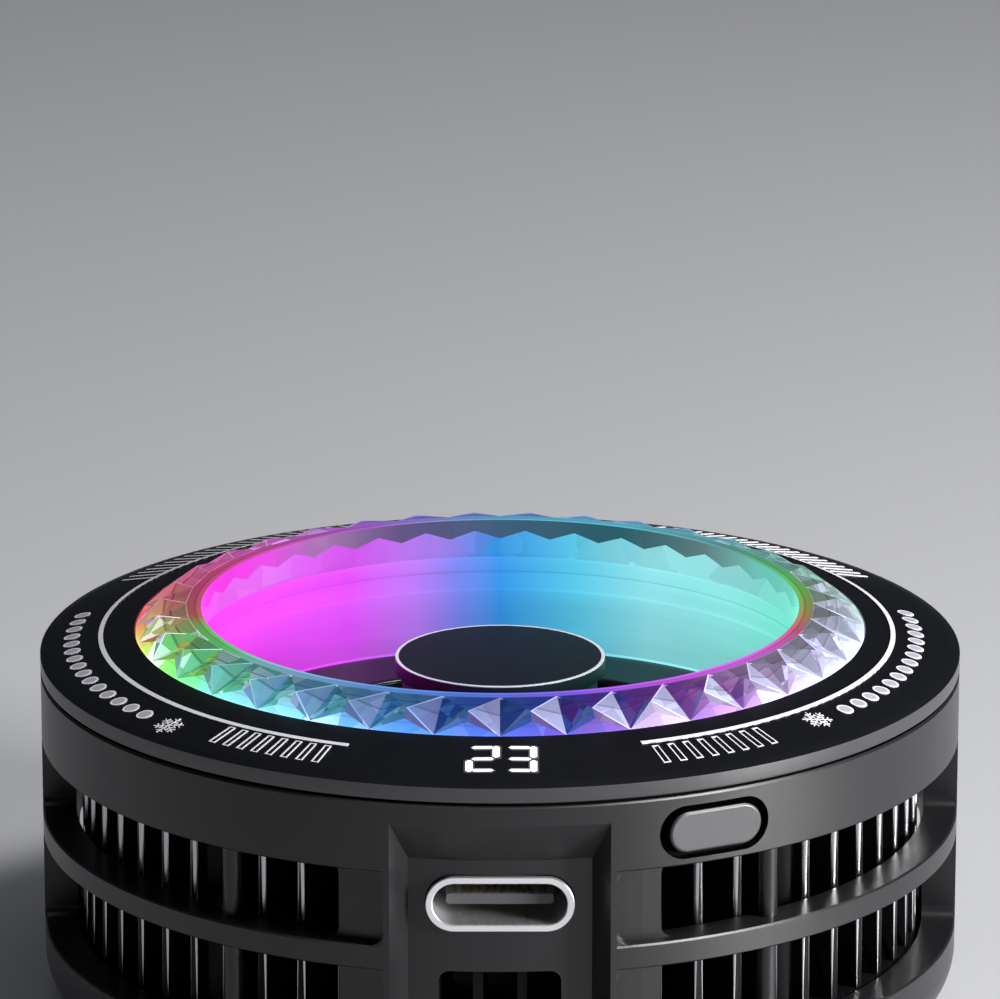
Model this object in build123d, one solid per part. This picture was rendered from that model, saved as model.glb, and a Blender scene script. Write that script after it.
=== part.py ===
from build123d import *
import math
import os

# Round magnetic cooler for the back of a phone.
# Millimetres. The origin is the middle of the face that meets the phone, and +Z points away from it.
# Azimuth is counted in degrees from the front (-Y, where the socket is) towards +X.

# Driving sizes of the casing
case_radius = 30.0
case_wall = 2.2
lip_width = 1.2                  # ledge that the base cover rests on
pad_proud = 0.6                  # the casing's lower edge stands this far off the phone
bottom_band_height = 5.1
lower_vent_height = 6.1
middle_band_height = 1.55
upper_vent_height = 4.85
upper_band_height = 4.55
bottom_round = 3.4
edge_chamfer = 0.14

# Driving sizes of the top
groove_height = 0.2
groove_depth = 0.35
trim_height = 0.97
trim_width = 1.5
plate_width = 5.9                # from the casing's edge to the crystal ring
belt_width = 3.9                 # from there to the well's edge
plate_rise = 1.18                # how far the plate's inner edge stands above its outer edge
plate_edge_height = 0.22
plate_edge_round = 0.66
crystal_rise = 1.42              # facet tips above the plate's inner edge
hub_radius = 6.88
hub_depth = 3.59                 # the cap's face below the facet tips

# Driving sizes of the cooling stack, from the phone upwards
cold_plate_thickness = 1.6
paste_thickness = 0.1
ceramic_thickness = 0.6
pellet_height = 1.2
sink_base_thickness = 1.4
fin_count = 60
fin_thickness = 0.6
fin_gap = 0.4                    # between the fins' outer ends and the casing
fin_set_out = 0.4                # fins' inner ends outside the well's edge
pad_edge_gap = 0.4               # between the soft pad's groove and the casing's ledge
magnet_set_in = 0.5              # magnets' outer edge inside the soft pad's
magnet_width = 4.0
foam_width = 2.9
foam_gap = 0.2
cold_flange_width = 1.4

# Fits
seat_gap = 0.1                   # between fixed pieces that drop into one another
running_gap = 0.3                # between the rotor and what stands still
shaft_gap = 0.03
overrun = 1.0                    # how far a cutter passes the surface that it opens

# Levels that several pieces share
low_sill = pad_proud + bottom_band_height
low_head = low_sill + lower_vent_height
top_sill = low_head + middle_band_height
top_head = top_sill + upper_vent_height
case_top = top_head + upper_band_height
trim_bottom = case_top + groove_height
trim_top = trim_bottom + trim_height
plate_inner_top = trim_top + plate_edge_height + plate_rise
crystal_top = plate_inner_top + crystal_rise
case_bore = case_radius - case_wall
plate_bore_radius = case_radius - plate_width
well_radius = plate_bore_radius - belt_width
fin_inner = well_radius + fin_set_out
pad_outer = case_bore - lip_width - pad_edge_gap
magnet_outer = pad_outer - magnet_set_in
magnet_inner = magnet_outer - magnet_width
foam_inner = magnet_inner - foam_gap - foam_width
cold_plate_radius = foam_inner - foam_gap - cold_flange_width
sink_bottom = cold_plate_thickness + 2 * paste_thickness + 2 * ceramic_thickness + pellet_height
sink_top = sink_bottom + sink_base_thickness
fin_radius = case_bore - fin_gap


# Helpers


def ring(inner_radius, outer_radius, bottom, top):
    height = top - bottom
    solid = Cylinder(outer_radius, height, align=(Align.CENTER, Align.CENTER, Align.MIN))
    if inner_radius > 0:
        solid -= Cylinder(inner_radius, height, align=(Align.CENTER, Align.CENTER, Align.MIN))
    return Pos(0, 0, bottom) * solid


def turned(points):
    # points are (radius, height) pairs around one outline
    outline = Plane.XZ * Polygon(*points, align=None)
    return revolve(outline, Axis.Z, 360)


def sector(inner_radius, outer_radius, bottom, top, start, end, corner=0):
    # a stretch of ring between two azimuths, with its end corners rounded when seen from outside
    outline = Plane.XZ * Polygon(
        (inner_radius, bottom), (outer_radius, bottom), (outer_radius, top), (inner_radius, top), align=None)
    solid = revolve(outline, Axis.Z, end - start)
    if corner > 0:
        straight = solid.edges().filter_by(GeomType.LINE)
        solid = fillet(straight.filter_by(Axis.Z, reverse=True), corner)
    return Rot(0, 0, start - 90) * solid


def facing(azimuth, radius, height):
    # a plane that looks outwards at an azimuth, with its X along the rim and its Y upwards
    turn = math.radians(azimuth)
    out = (math.sin(turn), -math.cos(turn), 0)
    along = (math.cos(turn), math.sin(turn), 0)
    return Plane(origin=(radius * out[0], radius * out[1], height), x_dir=along, z_dir=out)


def at_azimuth(azimuth, radius, height=0):
    turn = math.radians(azimuth)
    return Pos(radius * math.sin(turn), -radius * math.cos(turn), height)


def block(left, right, front, back, bottom, top):
    solid = Box(right - left, back - front, top - bottom, align=Align.MIN)
    return Pos(left, front, bottom) * solid


# Casing: one moulding with two rows of vents, a sunk bay for the socket and a pocket for the button

lip_height = 0.9                 # of the ledge that the base cover rests on
channel_depth = 1.0
channel_mouth = 0.12
channel_from_bay = 0.33
window_from_bay = 3.57
channel_end = 87.0               # azimuths
window_corner = 0.7
channel_corner = 0.95
rear_start = 93.0
rear_end = 166.0
tie_post_radius = 0.6
tie_post_azimuths = [36, 144, 216, 324]
bay_half_width = 6.95
bay_floor_half_width = 5.7
bay_depth = 2.0
bay_floor_wall = 1.2
bay_drop = 1.3                   # bay's upper edge below the casing's top
bay_bevel_height = 2.85
bay_foot_bevel_height = 1.4
bay_foot = 3.45                  # bay's lower edge above the casing's bottom
bay_wall_overlap = 1.0           # thick wall behind the bay beyond the bay's sides
bay_vent_width = 7.6
bay_vent_height = 5.63

button_azimuth = 26.4
button_height_above_vent = 2.15
button_width = 6.4
button_tall = 2.64
button_hole_gap = 0.15
button_pocket_width = 7.6
button_pocket_tall = 3.44
button_pocket_depth = 0.8

bay_top = case_top - bay_drop
bay_bottom = pad_proud + bay_foot
bay_floor_radius = case_radius - bay_depth
bay_inner_radius = bay_floor_radius - bay_floor_wall
bay_side = math.degrees((bay_half_width + bay_wall_overlap) / bay_inner_radius)
channel_start = math.degrees((bay_half_width + channel_from_bay) / case_radius)
window_start = math.degrees((bay_half_width + window_from_bay) / case_radius)
button_height = top_head + button_height_above_vent


def casing_body():
    round_middle = pad_proud + bottom_round
    outer = Plane.XZ * make_face(
        Polyline((0, pad_proud), (case_radius - bottom_round, pad_proud))
        + RadiusArc((case_radius - bottom_round, pad_proud), (case_radius, round_middle), -bottom_round)
        + Polyline(
            (case_radius, round_middle), (case_radius, case_top - edge_chamfer),
            (case_radius - edge_chamfer, case_top), (0, case_top), (0, pad_proud)))
    body = revolve(outer, Axis.Z, 360)
    body -= ring(0, case_bore, pad_proud + lip_height, case_top + overrun)
    body -= ring(0, case_bore - lip_width, pad_proud - overrun, case_top)
    return body


def bay_wall():
    # the wall is thicker behind the bay, so that the sunk floor keeps its strength
    lower = pad_proud + lip_height
    return sector(bay_inner_radius, case_bore + case_wall / 2, lower, bay_top, -bay_side, bay_side)


def bay_cutter():
    # a ring whose section has the sloped head, limited to a wedge with flared sides
    rise = overrun * bay_bevel_height / bay_depth
    fall = overrun * bay_foot_bevel_height / bay_depth
    outer = case_radius + overrun
    section = turned([
        (bay_floor_radius, bay_bottom + bay_foot_bevel_height), (outer, bay_bottom - fall),
        (outer, bay_top + rise), (bay_floor_radius, bay_top - bay_bevel_height)])
    flare = (bay_half_width - bay_floor_half_width) / bay_depth
    near = math.sqrt(bay_floor_radius ** 2 - bay_floor_half_width ** 2)
    middle = near - overrun
    edge = case_radius + overrun
    wide = bay_floor_half_width + flare * (edge - near)
    narrow = bay_floor_half_width - flare * overrun
    wedge = Polygon((-narrow, -middle), (-wide, -edge), (wide, -edge), (narrow, -middle), align=None)
    return section & extrude(wedge, case_top)


def vent_row(bottom, top):
    # each side has a sunk channel that ends in a blind tab beside the bay, and the window beyond it
    cutters = []
    inside = case_bore - overrun
    outside = case_radius + overrun
    floor_radius = case_radius - channel_depth
    mouth = [
        (case_radius - channel_mouth, bottom), (outside, bottom - overrun),
        (outside, top + overrun), (case_radius - channel_mouth, top)]
    for mirrored in (1, -1):
        spans = [(channel_start, channel_end), (rear_start, rear_end)]
        for start, end in spans:
            low, high = sorted((mirrored * start, mirrored * end))
            cutters.append(sector(floor_radius, outside, bottom, top, low, high, channel_corner))
            flare = revolve(Plane.XZ * Polygon(*mouth, align=None), Axis.Z, high - low)
            cutters.append(Rot(0, 0, low - 90) * flare)
        for start, end in [(window_start, channel_end), (rear_start, rear_end)]:
            low, high = sorted((mirrored * start, mirrored * end))
            cutters.append(sector(inside, outside, bottom, top, low, high, window_corner))
    return cutters


def socket_cutter(gap):
    outline = SlotOverall(socket_width + 2 * gap, socket_tall + 2 * gap)
    return extrude(facing(0, case_radius, socket_height) * outline, -case_radius / 2)


def button_cutters():
    wall = facing(button_azimuth, case_radius, button_height)
    pocket = wall * SlotOverall(button_pocket_width, button_pocket_tall)
    hole = wall * SlotOverall(button_width + 2 * button_hole_gap, button_tall + 2 * button_hole_gap)
    both = extrude(pocket, -button_pocket_depth) + extrude(pocket, overrun)
    return both + extrude(hole, -2 * case_wall)


def bay_vent_cutter():
    wall = facing(0, case_radius, low_sill + bay_vent_height / 2)
    return extrude(wall * RectangleRounded(bay_vent_width, bay_vent_height, window_corner), -2 * case_wall)


def casing():
    body = casing_body() + bay_wall()
    body -= [bay_cutter()]
    body -= vent_row(low_sill, low_head) + vent_row(top_sill, top_head)
    body -= [button_cutters(), bay_vent_cutter(), socket_cutter(socket_fit)]
    for azimuth in tie_post_azimuths:
        place = at_azimuth(azimuth, case_bore + tie_post_radius)
        body += place * ring(0, tie_post_radius, low_sill - tie_post_radius, top_head + tie_post_radius)
    return body


# Mode button, and the switch that it presses

button_proud = 0.05
button_chamfer = 0.12
button_flange_width = 7.2
button_flange_tall = 3.2
button_flange_thickness = 0.6
button_flange_gap = 0.15
button_travel = 0.35
plunger_radius = 0.85
plunger_sunk = 0.7
switch_width = 4.0
switch_depth = 2.6
switch_stand_off = 0.75          # plunger's free length between the switch and the button
plunger_fit = 0.05
switch_above_deck = 0.4


def button_flange_face():
    # the flat flange stays inside the curved wall
    half = button_flange_width / 2
    return math.sqrt(case_bore ** 2 - half ** 2) - button_flange_gap


def mode_button():
    front = case_radius + button_proud
    back = button_flange_face() - button_flange_thickness
    base = facing(button_azimuth, back, button_height)
    cap = extrude(base * SlotOverall(button_width, button_tall), front - back)
    face = cap.faces().sort_by_distance(facing(button_azimuth, front, button_height).origin)[0]
    cap = chamfer(face.edges(), button_chamfer)
    return cap + extrude(base * SlotOverall(button_flange_width, button_flange_tall), button_flange_thickness)


def switch_plunger():
    back = button_flange_face() - button_flange_thickness
    base = facing(button_azimuth, back - switch_stand_off - plunger_sunk, button_height)
    return extrude(base * Circle(plunger_radius), switch_stand_off + plunger_sunk)


def switch_body():
    # hangs from the lamp board, with its front towards the button
    front = button_flange_face() - button_flange_thickness - switch_stand_off
    bottom = deck_top + switch_above_deck
    middle = (board_bottom + bottom) / 2
    base = facing(button_azimuth, front - switch_depth, middle)
    body = extrude(base * Rectangle(switch_width, board_bottom - bottom), switch_depth)
    hole_base = facing(button_azimuth, front - plunger_sunk - button_travel - running_gap, button_height)
    hole = extrude(hole_base * Circle(plunger_radius + plunger_fit), switch_depth)
    return body - hole


# Trim ring, top plate and crystal ring

plate_slope_start = 0.6
facet_count = 36
facet_outer_drop = 1.46
facet_waist_share = 0.53         # where the side corners lie between tip and outer edge
facet_waist_rise = 0.5           # above the straight line from tip to foot
facet_cut_past = 0.05            # the facets are cut a little wider than the ring
crystal_lip = 0.7                # how far the ring leans over the well
crystal_lip_lift = 0.45          # the leaning part's underside above the ring's foot
crystal_rim = 0.95               # flat between the well and the facet tips


def trim_ring():
    inner = case_radius - trim_width
    foot = case_radius - groove_depth
    return turned([
        (inner, case_top), (foot, case_top), (foot, trim_bottom), (case_radius - edge_chamfer, trim_bottom),
        (case_radius, trim_bottom + edge_chamfer), (case_radius, trim_top), (inner, trim_top)])


def top_plate():
    outer = case_radius - plate_slope_start
    plate = Plane.XZ * make_face(
        Polyline((case_radius, trim_top), (plate_bore_radius, trim_top), (plate_bore_radius, plate_inner_top),
                 (outer, trim_top + plate_edge_height))
        + RadiusArc((outer, trim_top + plate_edge_height), (case_radius, trim_top), plate_edge_round))
    return revolve(plate, Axis.Z, 360)


def crystal_corner(radius, index, height):
    turn = math.radians(index * 360 / facet_count)
    return Vector(radius * math.sin(turn), -radius * math.cos(turn), height)


def crystal_ring():
    # a belt of pointed facets: tips beside the flat rim, raised side corners half a step on, feet at the outer edge
    outer = plate_bore_radius - seat_gap
    inner = well_radius - crystal_lip
    tip_radius = inner + crystal_rim
    slope = facet_outer_drop / (outer - tip_radius)
    foot_radius = outer / math.cos(math.pi / facet_count) + facet_cut_past
    foot_level = crystal_top - slope * (foot_radius - tip_radius)
    waist_radius = tip_radius + facet_waist_share * (outer - tip_radius)
    waist_level = crystal_top - slope * (waist_radius - tip_radius) + facet_waist_rise
    core_radius = inner - facet_cut_past
    faces = []
    for index in range(facet_count):
        tips = [crystal_corner(tip_radius, k, crystal_top) for k in (index, index + 1)]
        feet = [crystal_corner(foot_radius, k, foot_level) for k in (index, index + 1)]
        rims = [crystal_corner(core_radius, k, crystal_top) for k in (index, index + 1)]
        low_in = [crystal_corner(core_radius, k, trim_top) for k in (index, index + 1)]
        low_out = [crystal_corner(foot_radius, k, trim_top) for k in (index, index + 1)]
        waist = crystal_corner(waist_radius, index + 1 / 2, waist_level)
        outlines = [
            [tips[0], tips[1], waist], [tips[0], waist, feet[0]], [tips[1], feet[1], waist],
            [feet[0], waist, feet[1]], [rims[0], rims[1], tips[1], tips[0]],
            [feet[0], feet[1], low_out[1], low_out[0]], [low_in[0], low_in[1], low_out[1], low_out[0]],
            [rims[0], rims[1], low_in[1], low_in[0]]]
        faces += [Face(Wire.make_polygon(outline, close=True)) for outline in outlines]
    belt = Solid(Shell(faces))
    belt &= ring(inner, outer, trim_top, crystal_top + overrun)
    return belt - ring(inner - overrun, well_radius, trim_top - overrun, trim_top + crystal_lip_lift)


# Lamps, their board and the light guide that lines the well

guide_thickness = 1.2
guide_step_down = 1.1
guide_band_height = 1.3
guide_band_slope = 0.35
guide_flare = 0.15
guide_foot_drop = 1.0            # guide's foot below the upper vent's head
board_thickness = 0.8
board_to_plate = 1.5
board_edge_gap = 0.3
lamp_count = 24
lamp_width_share = 0.6           # of the belt outside the light guide
lamp_height = 0.8
display_width = 5.6
display_from_bore = 0.7
display_from_edge = 1.8
display_gap = 0.05
notch_side = 1.2                 # degrees
film_thickness = 0.3

board_top = trim_top - board_to_plate
board_bottom = board_top - board_thickness
guide_outer = well_radius + guide_thickness
duct_top = top_head - guide_foot_drop
lamp_radius = (guide_outer + plate_bore_radius) / 2
lamp_width = lamp_width_share * (plate_bore_radius - guide_outer)
display_inner = plate_bore_radius + display_from_bore
display_outer = case_radius - display_from_edge


def light_guide():
    upper = trim_top - guide_step_down
    lower = upper - guide_band_height
    return turned([
        (well_radius + seat_gap / 2, trim_top), (guide_outer, trim_top), (guide_outer, duct_top),
        (well_radius + guide_flare, duct_top), (well_radius + guide_flare + guide_band_slope / 2, lower),
        (well_radius + guide_band_slope, upper), (well_radius + seat_gap / 2, upper)])


def diffuser_film():
    # milky film over the lamps, glued under the crystal ring
    return ring(guide_outer + seat_gap, plate_bore_radius - seat_gap, trim_top - film_thickness, trim_top)


def lamp_board():
    board = ring(guide_outer + board_edge_gap, case_bore - board_edge_gap, board_bottom, board_top)
    for azimuth in deck_post_azimuths:
        board -= at_azimuth(azimuth, deck_post_place) * ring(0, board_screw_radius, board_bottom, board_top)
    # a notch lets the button's flange move
    reach = button_flange_face() - button_flange_thickness - button_travel - running_gap
    half = math.degrees(button_flange_width / 2 / reach) + notch_side
    start = button_azimuth - half
    return board - sector(reach, case_radius, board_bottom, board_top, start, start + 2 * half)


def lamps():
    group = []
    for index in range(lamp_count):
        place = at_azimuth((index + 1 / 2) * 360 / lamp_count, lamp_radius, board_top)
        turn = Rot(0, 0, (index + 1 / 2) * 360 / lamp_count)
        half = lamp_width / 2
        group.append(place * turn * block(-half, half, -half, half, 0, lamp_height))
    return Compound(children=group)


def display_module():
    # the front of the module reaches out over the casing's upper edge
    half = display_width / 2
    step = case_bore - board_edge_gap
    top = trim_top - display_gap
    body = block(-half, half, -step, -display_inner, board_top, top)
    return body + block(-half, half, -display_outer, -display_inner, case_top + seat_gap, top)


# Deck: the inner frame that carries the lamp board, the air duct and the main board

deck_above_vent = 0.1
deck_thickness = 0.8
deck_post_radius = 1.3
deck_post_from_bore = 0.9
deck_post_azimuths = [36, 108, 180, 252, 324]
duct_thickness = 0.9
duct_floor_width = 4.9           # from the well's edge to the round air eye
duct_eye_round = 0.4
duct_seat_width = 0.6
duct_wall = 0.8
duct_seat_thickness = 0.6
hanger_inner = 8.8
hanger_thickness = 1.1
hanger_slot = 0.4
hanger_from_fins = 0.3
hanger_from_bay = 1.6

deck_top = top_head + deck_above_vent
deck_bottom = deck_top - deck_thickness
duct_bottom = duct_top - duct_thickness
duct_eye_radius = well_radius - duct_floor_width
deck_post_place = plate_bore_radius + deck_post_from_bore
hanger_back = fin_inner + hanger_from_fins
hanger_front = bay_inner_radius - hanger_from_bay
main_board_half = hanger_inner + hanger_slot


def bay_room(gap, bottom, top):
    # what pieces inside the casing leave free for the thick wall behind the bay
    side = bay_side + math.degrees(gap / bay_inner_radius)
    return sector(bay_inner_radius - gap, case_radius, bottom, top, -side, side)


def deck():
    lip_inner = guide_outer - duct_seat_width
    wall_inner = guide_outer + seat_gap
    wall_outer = wall_inner + duct_wall
    lip_bottom = duct_bottom - duct_seat_thickness
    body = ring(wall_inner, case_bore - seat_gap, deck_bottom, deck_top)
    body += ring(lip_inner, wall_outer, lip_bottom, duct_bottom)
    body += ring(wall_inner, wall_outer, lip_bottom, deck_top)
    body -= bay_room(seat_gap, pad_proud, case_top)
    side = socket_width / 2 + socket_fit
    body -= block(-side, side, -case_radius, -well_radius, lip_bottom, deck_bottom)
    for azimuth in deck_post_azimuths:
        post = ring(board_screw_radius, deck_post_radius, deck_top, board_bottom)
        body += at_azimuth(azimuth, deck_post_place) * post
    board_top_level = board_level + main_board_thickness
    groove = block(-main_board_half, main_board_half, -case_radius, 0, board_level, board_top_level)
    for mirrored in (1, -1):
        near, far = sorted((mirrored * hanger_inner, mirrored * (hanger_inner + hanger_thickness)))
        leg = block(near, far, -hanger_front, -hanger_back, board_level - duct_seat_thickness, deck_bottom)
        body += leg - groove
    for azimuth in sink_post_azimuths:
        body -= at_azimuth(azimuth, sink_post_place) * ring(0, frame_screw_radius, deck_bottom, deck_top)
    return body


def inlet_ring():
    # smoked duct floor with the round air eye
    body = ring(duct_eye_radius, guide_outer, duct_bottom, duct_top)
    eye = body.edges().filter_by(GeomType.CIRCLE).sort_by(SortBy.RADIUS)[0:2].sort_by(Axis.Z)[-1]
    return fillet(eye, duct_eye_round)


# Heat sink: round base, radial fins and four screw posts, with room for the board behind the socket

fin_step_gap = 0.5               # between the fins and the duct's seat
sink_post_radius = 1.9
sink_post_set_in = 3.2           # posts' centres inside the casing's bore
sink_post_azimuths = [45, 135, 225, 315]
sink_side_gap = 0.4

fin_step_radius = guide_outer + seat_gap + duct_wall + fin_step_gap
sink_post_place = case_bore - sink_post_set_in

def heat_sink():
    fin_top = deck_bottom
    step = duct_bottom - duct_seat_thickness - seat_gap
    outline = Plane.XZ * Polygon(
        (fin_inner, sink_bottom), (fin_radius, sink_bottom), (fin_radius, fin_top),
        (fin_step_radius, fin_top), (fin_step_radius, step), (fin_inner, step), align=None)
    fin = extrude(outline, fin_thickness / 2, both=True)
    pitch = 360 / fin_count
    fins = [Rot(0, 0, (index + 1 / 2) * pitch - 90) * fin for index in range(fin_count)]
    body = ring(0, fin_radius, sink_bottom, sink_top) + fins
    for azimuth in sink_post_azimuths:
        body += at_azimuth(azimuth, sink_post_place) * ring(0, sink_post_radius, sink_bottom, fin_top)
    body -= bay_room(sink_side_gap, pad_proud, case_top)
    room = hanger_inner + hanger_thickness + seat_gap
    floor = board_level - duct_seat_thickness - seat_gap
    body -= block(-room, room, -case_radius, -fin_inner + overrun, floor, case_top)
    for azimuth in sink_post_azimuths:
        place = at_azimuth(azimuth, sink_post_place)
        body -= place * ring(0, frame_screw_radius, fin_top - frame_screw_length, fin_top)
        body -= place * ring(0, base_screw_radius, sink_bottom, sink_bottom + base_screw_grip)
    return body


# Thermoelectric module between the heat sink and the cold plate

module_corner_reach = 0.68       # module's corners outside the cold plate's face
pellet_share = 0.4               # of the pitch
pellet_rows = 7
cold_flange_thickness = 0.6

module_side = (cold_plate_radius + module_corner_reach) * math.sqrt(2)
module_bottom = cold_plate_thickness + paste_thickness


def square_layer(bottom, thickness):
    half = module_side / 2
    return block(-half, half, -half, half, bottom, bottom + thickness)


def cold_paste():
    return square_layer(cold_plate_thickness, paste_thickness)


def module_cold_side():
    return square_layer(module_bottom, ceramic_thickness)


def module_pellets():
    bottom = module_bottom + ceramic_thickness
    pitch = module_side / pellet_rows
    spaces = GridLocations(pitch, pitch, pellet_rows, pellet_rows)
    side = pitch * pellet_share
    pellet = Box(side, side, pellet_height, align=(Align.CENTER, Align.CENTER, Align.MIN))
    return Compound(children=[Pos(0, 0, bottom) * place * pellet for place in spaces])


def module_hot_side():
    return square_layer(module_bottom + ceramic_thickness + pellet_height, ceramic_thickness)


def hot_paste():
    return square_layer(sink_bottom - paste_thickness, paste_thickness)


def cold_plate():
    disc = ring(0, cold_plate_radius, 0, cold_plate_thickness)
    top = cold_plate_thickness
    return disc + ring(0, cold_plate_radius + cold_flange_width, top - cold_flange_thickness, top)


# Base cover with its magnets, steel ring, foam and the soft pad

cover_thickness = 1.0
pad_thickness = 0.9
pad_from_flange = 0.6            # between the cold plate's flange and the soft pad's groove
cover_boss_radius = 1.9
cover_flange_height = 0.8
magnet_height = 1.4
magnet_side_gap = 0.15
magnets_per_quarter = 4
magnet_gap = 0.6                 # degrees
magnet_screw_room = 7.0          # degrees kept free on each side of a screw
yoke_thickness = 0.4

cover_top = pad_proud + cover_thickness
pad_inner = cold_plate_radius + cold_flange_width + pad_from_flange


def base_cover():
    bore = cold_plate_radius + seat_gap
    outer = case_bore - lip_width - seat_gap
    flange = case_bore - seat_gap
    body = ring(bore, outer, pad_proud, cover_top)
    rim_top = cover_top + cover_flange_height
    body += ring(magnet_outer + magnet_side_gap, flange, pad_proud + lip_height, rim_top)
    body -= ring(0, cold_plate_radius + cold_flange_width + seat_gap,
                 cold_plate_thickness - cold_flange_thickness, cover_top)
    body -= ring(pad_inner, pad_outer, 0, pad_thickness)
    body -= bay_room(seat_gap, pad_proud + lip_height, case_top)
    for azimuth in sink_post_azimuths:
        place = at_azimuth(azimuth, sink_post_place)
        body += place * ring(0, cover_boss_radius, pad_thickness, sink_bottom)
        body -= place * ring(0, base_screw_radius, 0, sink_bottom)
        body -= place * ring(0, base_head_radius + seat_gap, 0, pad_thickness + base_head_height)
    return body


def magnets():
    quarter = 360 / len(sink_post_azimuths)
    span = (quarter - 2 * magnet_screw_room) / magnets_per_quarter
    group = []
    for azimuth in sink_post_azimuths:
        for index in range(magnets_per_quarter):
            start = azimuth + magnet_screw_room + index * span + magnet_gap / 2
            end = start + span - magnet_gap
            group.append(sector(magnet_inner, magnet_outer, cover_top, cover_top + magnet_height, start, end))
    return Compound(children=group)


def magnet_yoke():
    bottom = cover_top + magnet_height
    body = ring(magnet_inner, magnet_outer, bottom, bottom + yoke_thickness)
    for azimuth in sink_post_azimuths:
        body -= at_azimuth(azimuth, sink_post_place) * ring(0, cover_boss_radius + seat_gap, 0, sink_bottom)
    return body


def foam_ring():
    # closed-cell foam that keeps damp air off the module
    return ring(foam_inner, magnet_inner - foam_gap, cover_top, sink_bottom)


def soft_pad():
    return ring(pad_inner + seat_gap, pad_outer - seat_gap, 0, pad_thickness)


# Screws

slot_length_share = 0.5          # of the head's radius
slot_width_share = 0.125
slot_depth_share = 0.5           # of the head's height
base_screw_radius = 0.8
base_head_radius = 1.4
base_head_height = 0.7
base_screw_grip = 1.0
frame_screw_radius = 0.7
frame_head_radius = 1.3
frame_head_height = 0.6
frame_screw_length = 3.0
board_screw_radius = 0.6
board_head_radius = 1.1
board_head_height = 0.45
board_screw_length = 2.6


def cross_screw(radius, length, head_radius, head_height):
    # the head's seat is at zero and the shank points down
    body = ring(0, radius, -length, 0) + ring(0, head_radius, 0, head_height)
    long = head_radius * slot_length_share
    wide = head_radius * slot_width_share
    deep = head_height * slot_depth_share
    for turn in (0, 90):
        body -= Rot(0, 0, turn) * block(-long, long, -wide, wide, head_height - deep, head_height)
    return body


def base_screws():
    seat = pad_thickness + base_head_height
    length = sink_bottom + base_screw_grip - seat
    screw = cross_screw(base_screw_radius, length, base_head_radius, base_head_height)
    places = [at_azimuth(azimuth, sink_post_place, seat) for azimuth in sink_post_azimuths]
    return Compound(children=[place * Rot(180, 0, 0) * screw for place in places])


def frame_screws():
    length = frame_screw_length + deck_thickness
    screw = cross_screw(frame_screw_radius, length, frame_head_radius, frame_head_height)
    places = [at_azimuth(azimuth, sink_post_place, deck_top) for azimuth in sink_post_azimuths]
    return Compound(children=[place * screw for place in places])


def board_screws():
    screw = cross_screw(board_screw_radius, board_screw_length, board_head_radius, board_head_height)
    places = [at_azimuth(azimuth, deck_post_place, board_top) for azimuth in deck_post_azimuths]
    return Compound(children=[place * screw for place in places])


# Socket and main board

socket_width = 8.94
socket_tall = 3.26
socket_wall = 0.3
socket_rear_gap = 0.2            # between the socket and the light guide
socket_proud = 0.2
socket_lip = 0.16
socket_lip_length = 0.35
socket_fit = 0.2
socket_below_vent_head = 2.4     # socket's centre below the upper vent's head
tongue_width = 6.69
tongue_thickness = 0.7
tongue_corner = 0.23
tongue_set_back = 1.1
tongue_root = 1.4
main_board_thickness = 0.8
main_board_from_bay = 1.4
chip_height = 0.8
small_chip_share = 0.75

socket_height = top_head - socket_below_vent_head
socket_front = bay_floor_radius + socket_proud
socket_length = socket_front - guide_outer - socket_rear_gap
main_board_front = bay_inner_radius - main_board_from_bay
board_level = socket_height - socket_tall / 2 - main_board_thickness


def socket_bore():
    return SlotOverall(socket_width - 2 * socket_wall, socket_tall - 2 * socket_wall)


def socket_shell():
    front = facing(0, socket_front, socket_height)
    lip = SlotOverall(socket_width + 2 * socket_lip, socket_tall + 2 * socket_lip)
    body = extrude(front * SlotOverall(socket_width, socket_tall), -socket_length)
    return body + extrude(front * lip, -socket_lip_length) - extrude(front * socket_bore(), -socket_length)


def socket_tongue():
    root_front = facing(0, socket_front - socket_length + tongue_root, socket_height)
    root = extrude(root_front * socket_bore(), -tongue_root)
    blade_length = socket_length - tongue_set_back - tongue_root
    outline = RectangleRounded(tongue_width, tongue_thickness, tongue_corner)
    blade_front = facing(0, socket_front - tongue_set_back, socket_height)
    return root + extrude(blade_front * outline, -blade_length)


def main_board():
    return block(-main_board_half, main_board_half, -main_board_front, -hanger_back,
                 board_level, board_level + main_board_thickness)


def board_chips():
    top = board_level + main_board_thickness
    clear = socket_width / 2 + 2 * socket_lip
    middle = (clear + hanger_inner) / 2
    half = (hanger_inner - clear) / 2 - 2 * seat_gap
    group = []
    depth = (main_board_front + hanger_back) / 2
    for side, size in ((1, half), (-1, half * small_chip_share)):
        left = side * middle - size
        group.append(block(left, left + 2 * size, -depth - size, -depth + size, top, top + chip_height))
    return Compound(children=group)


# Fan motor: base, board, wound stator, bearing and the turning parts

motor_base_radius = 9.0
motor_base_thickness = 0.8
motor_step_radius = 3.4
motor_step_height = 0.8
motor_board_radius = 6.4
motor_board_thickness = 0.6
tube_outer = 2.2
tube_inner = 1.75
tube_below_yoke = 1.3
bearing_below_tube = 1.2
thrust_thickness = 0.5
shaft_radius = 0.75
stator_outer = 4.4
stator_height = 3.4
stator_poles = 6
pole_neck = 0.9
pole_shoe = 0.5
pole_shoe_half_share = 0.4
coil_thickness = 0.65
magnet_gap_radial = 0.35
rotor_magnet_wall = 0.75
yoke_wall = 0.5
cap_above_yoke = 5.35
cap_thickness = 1.0

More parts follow.
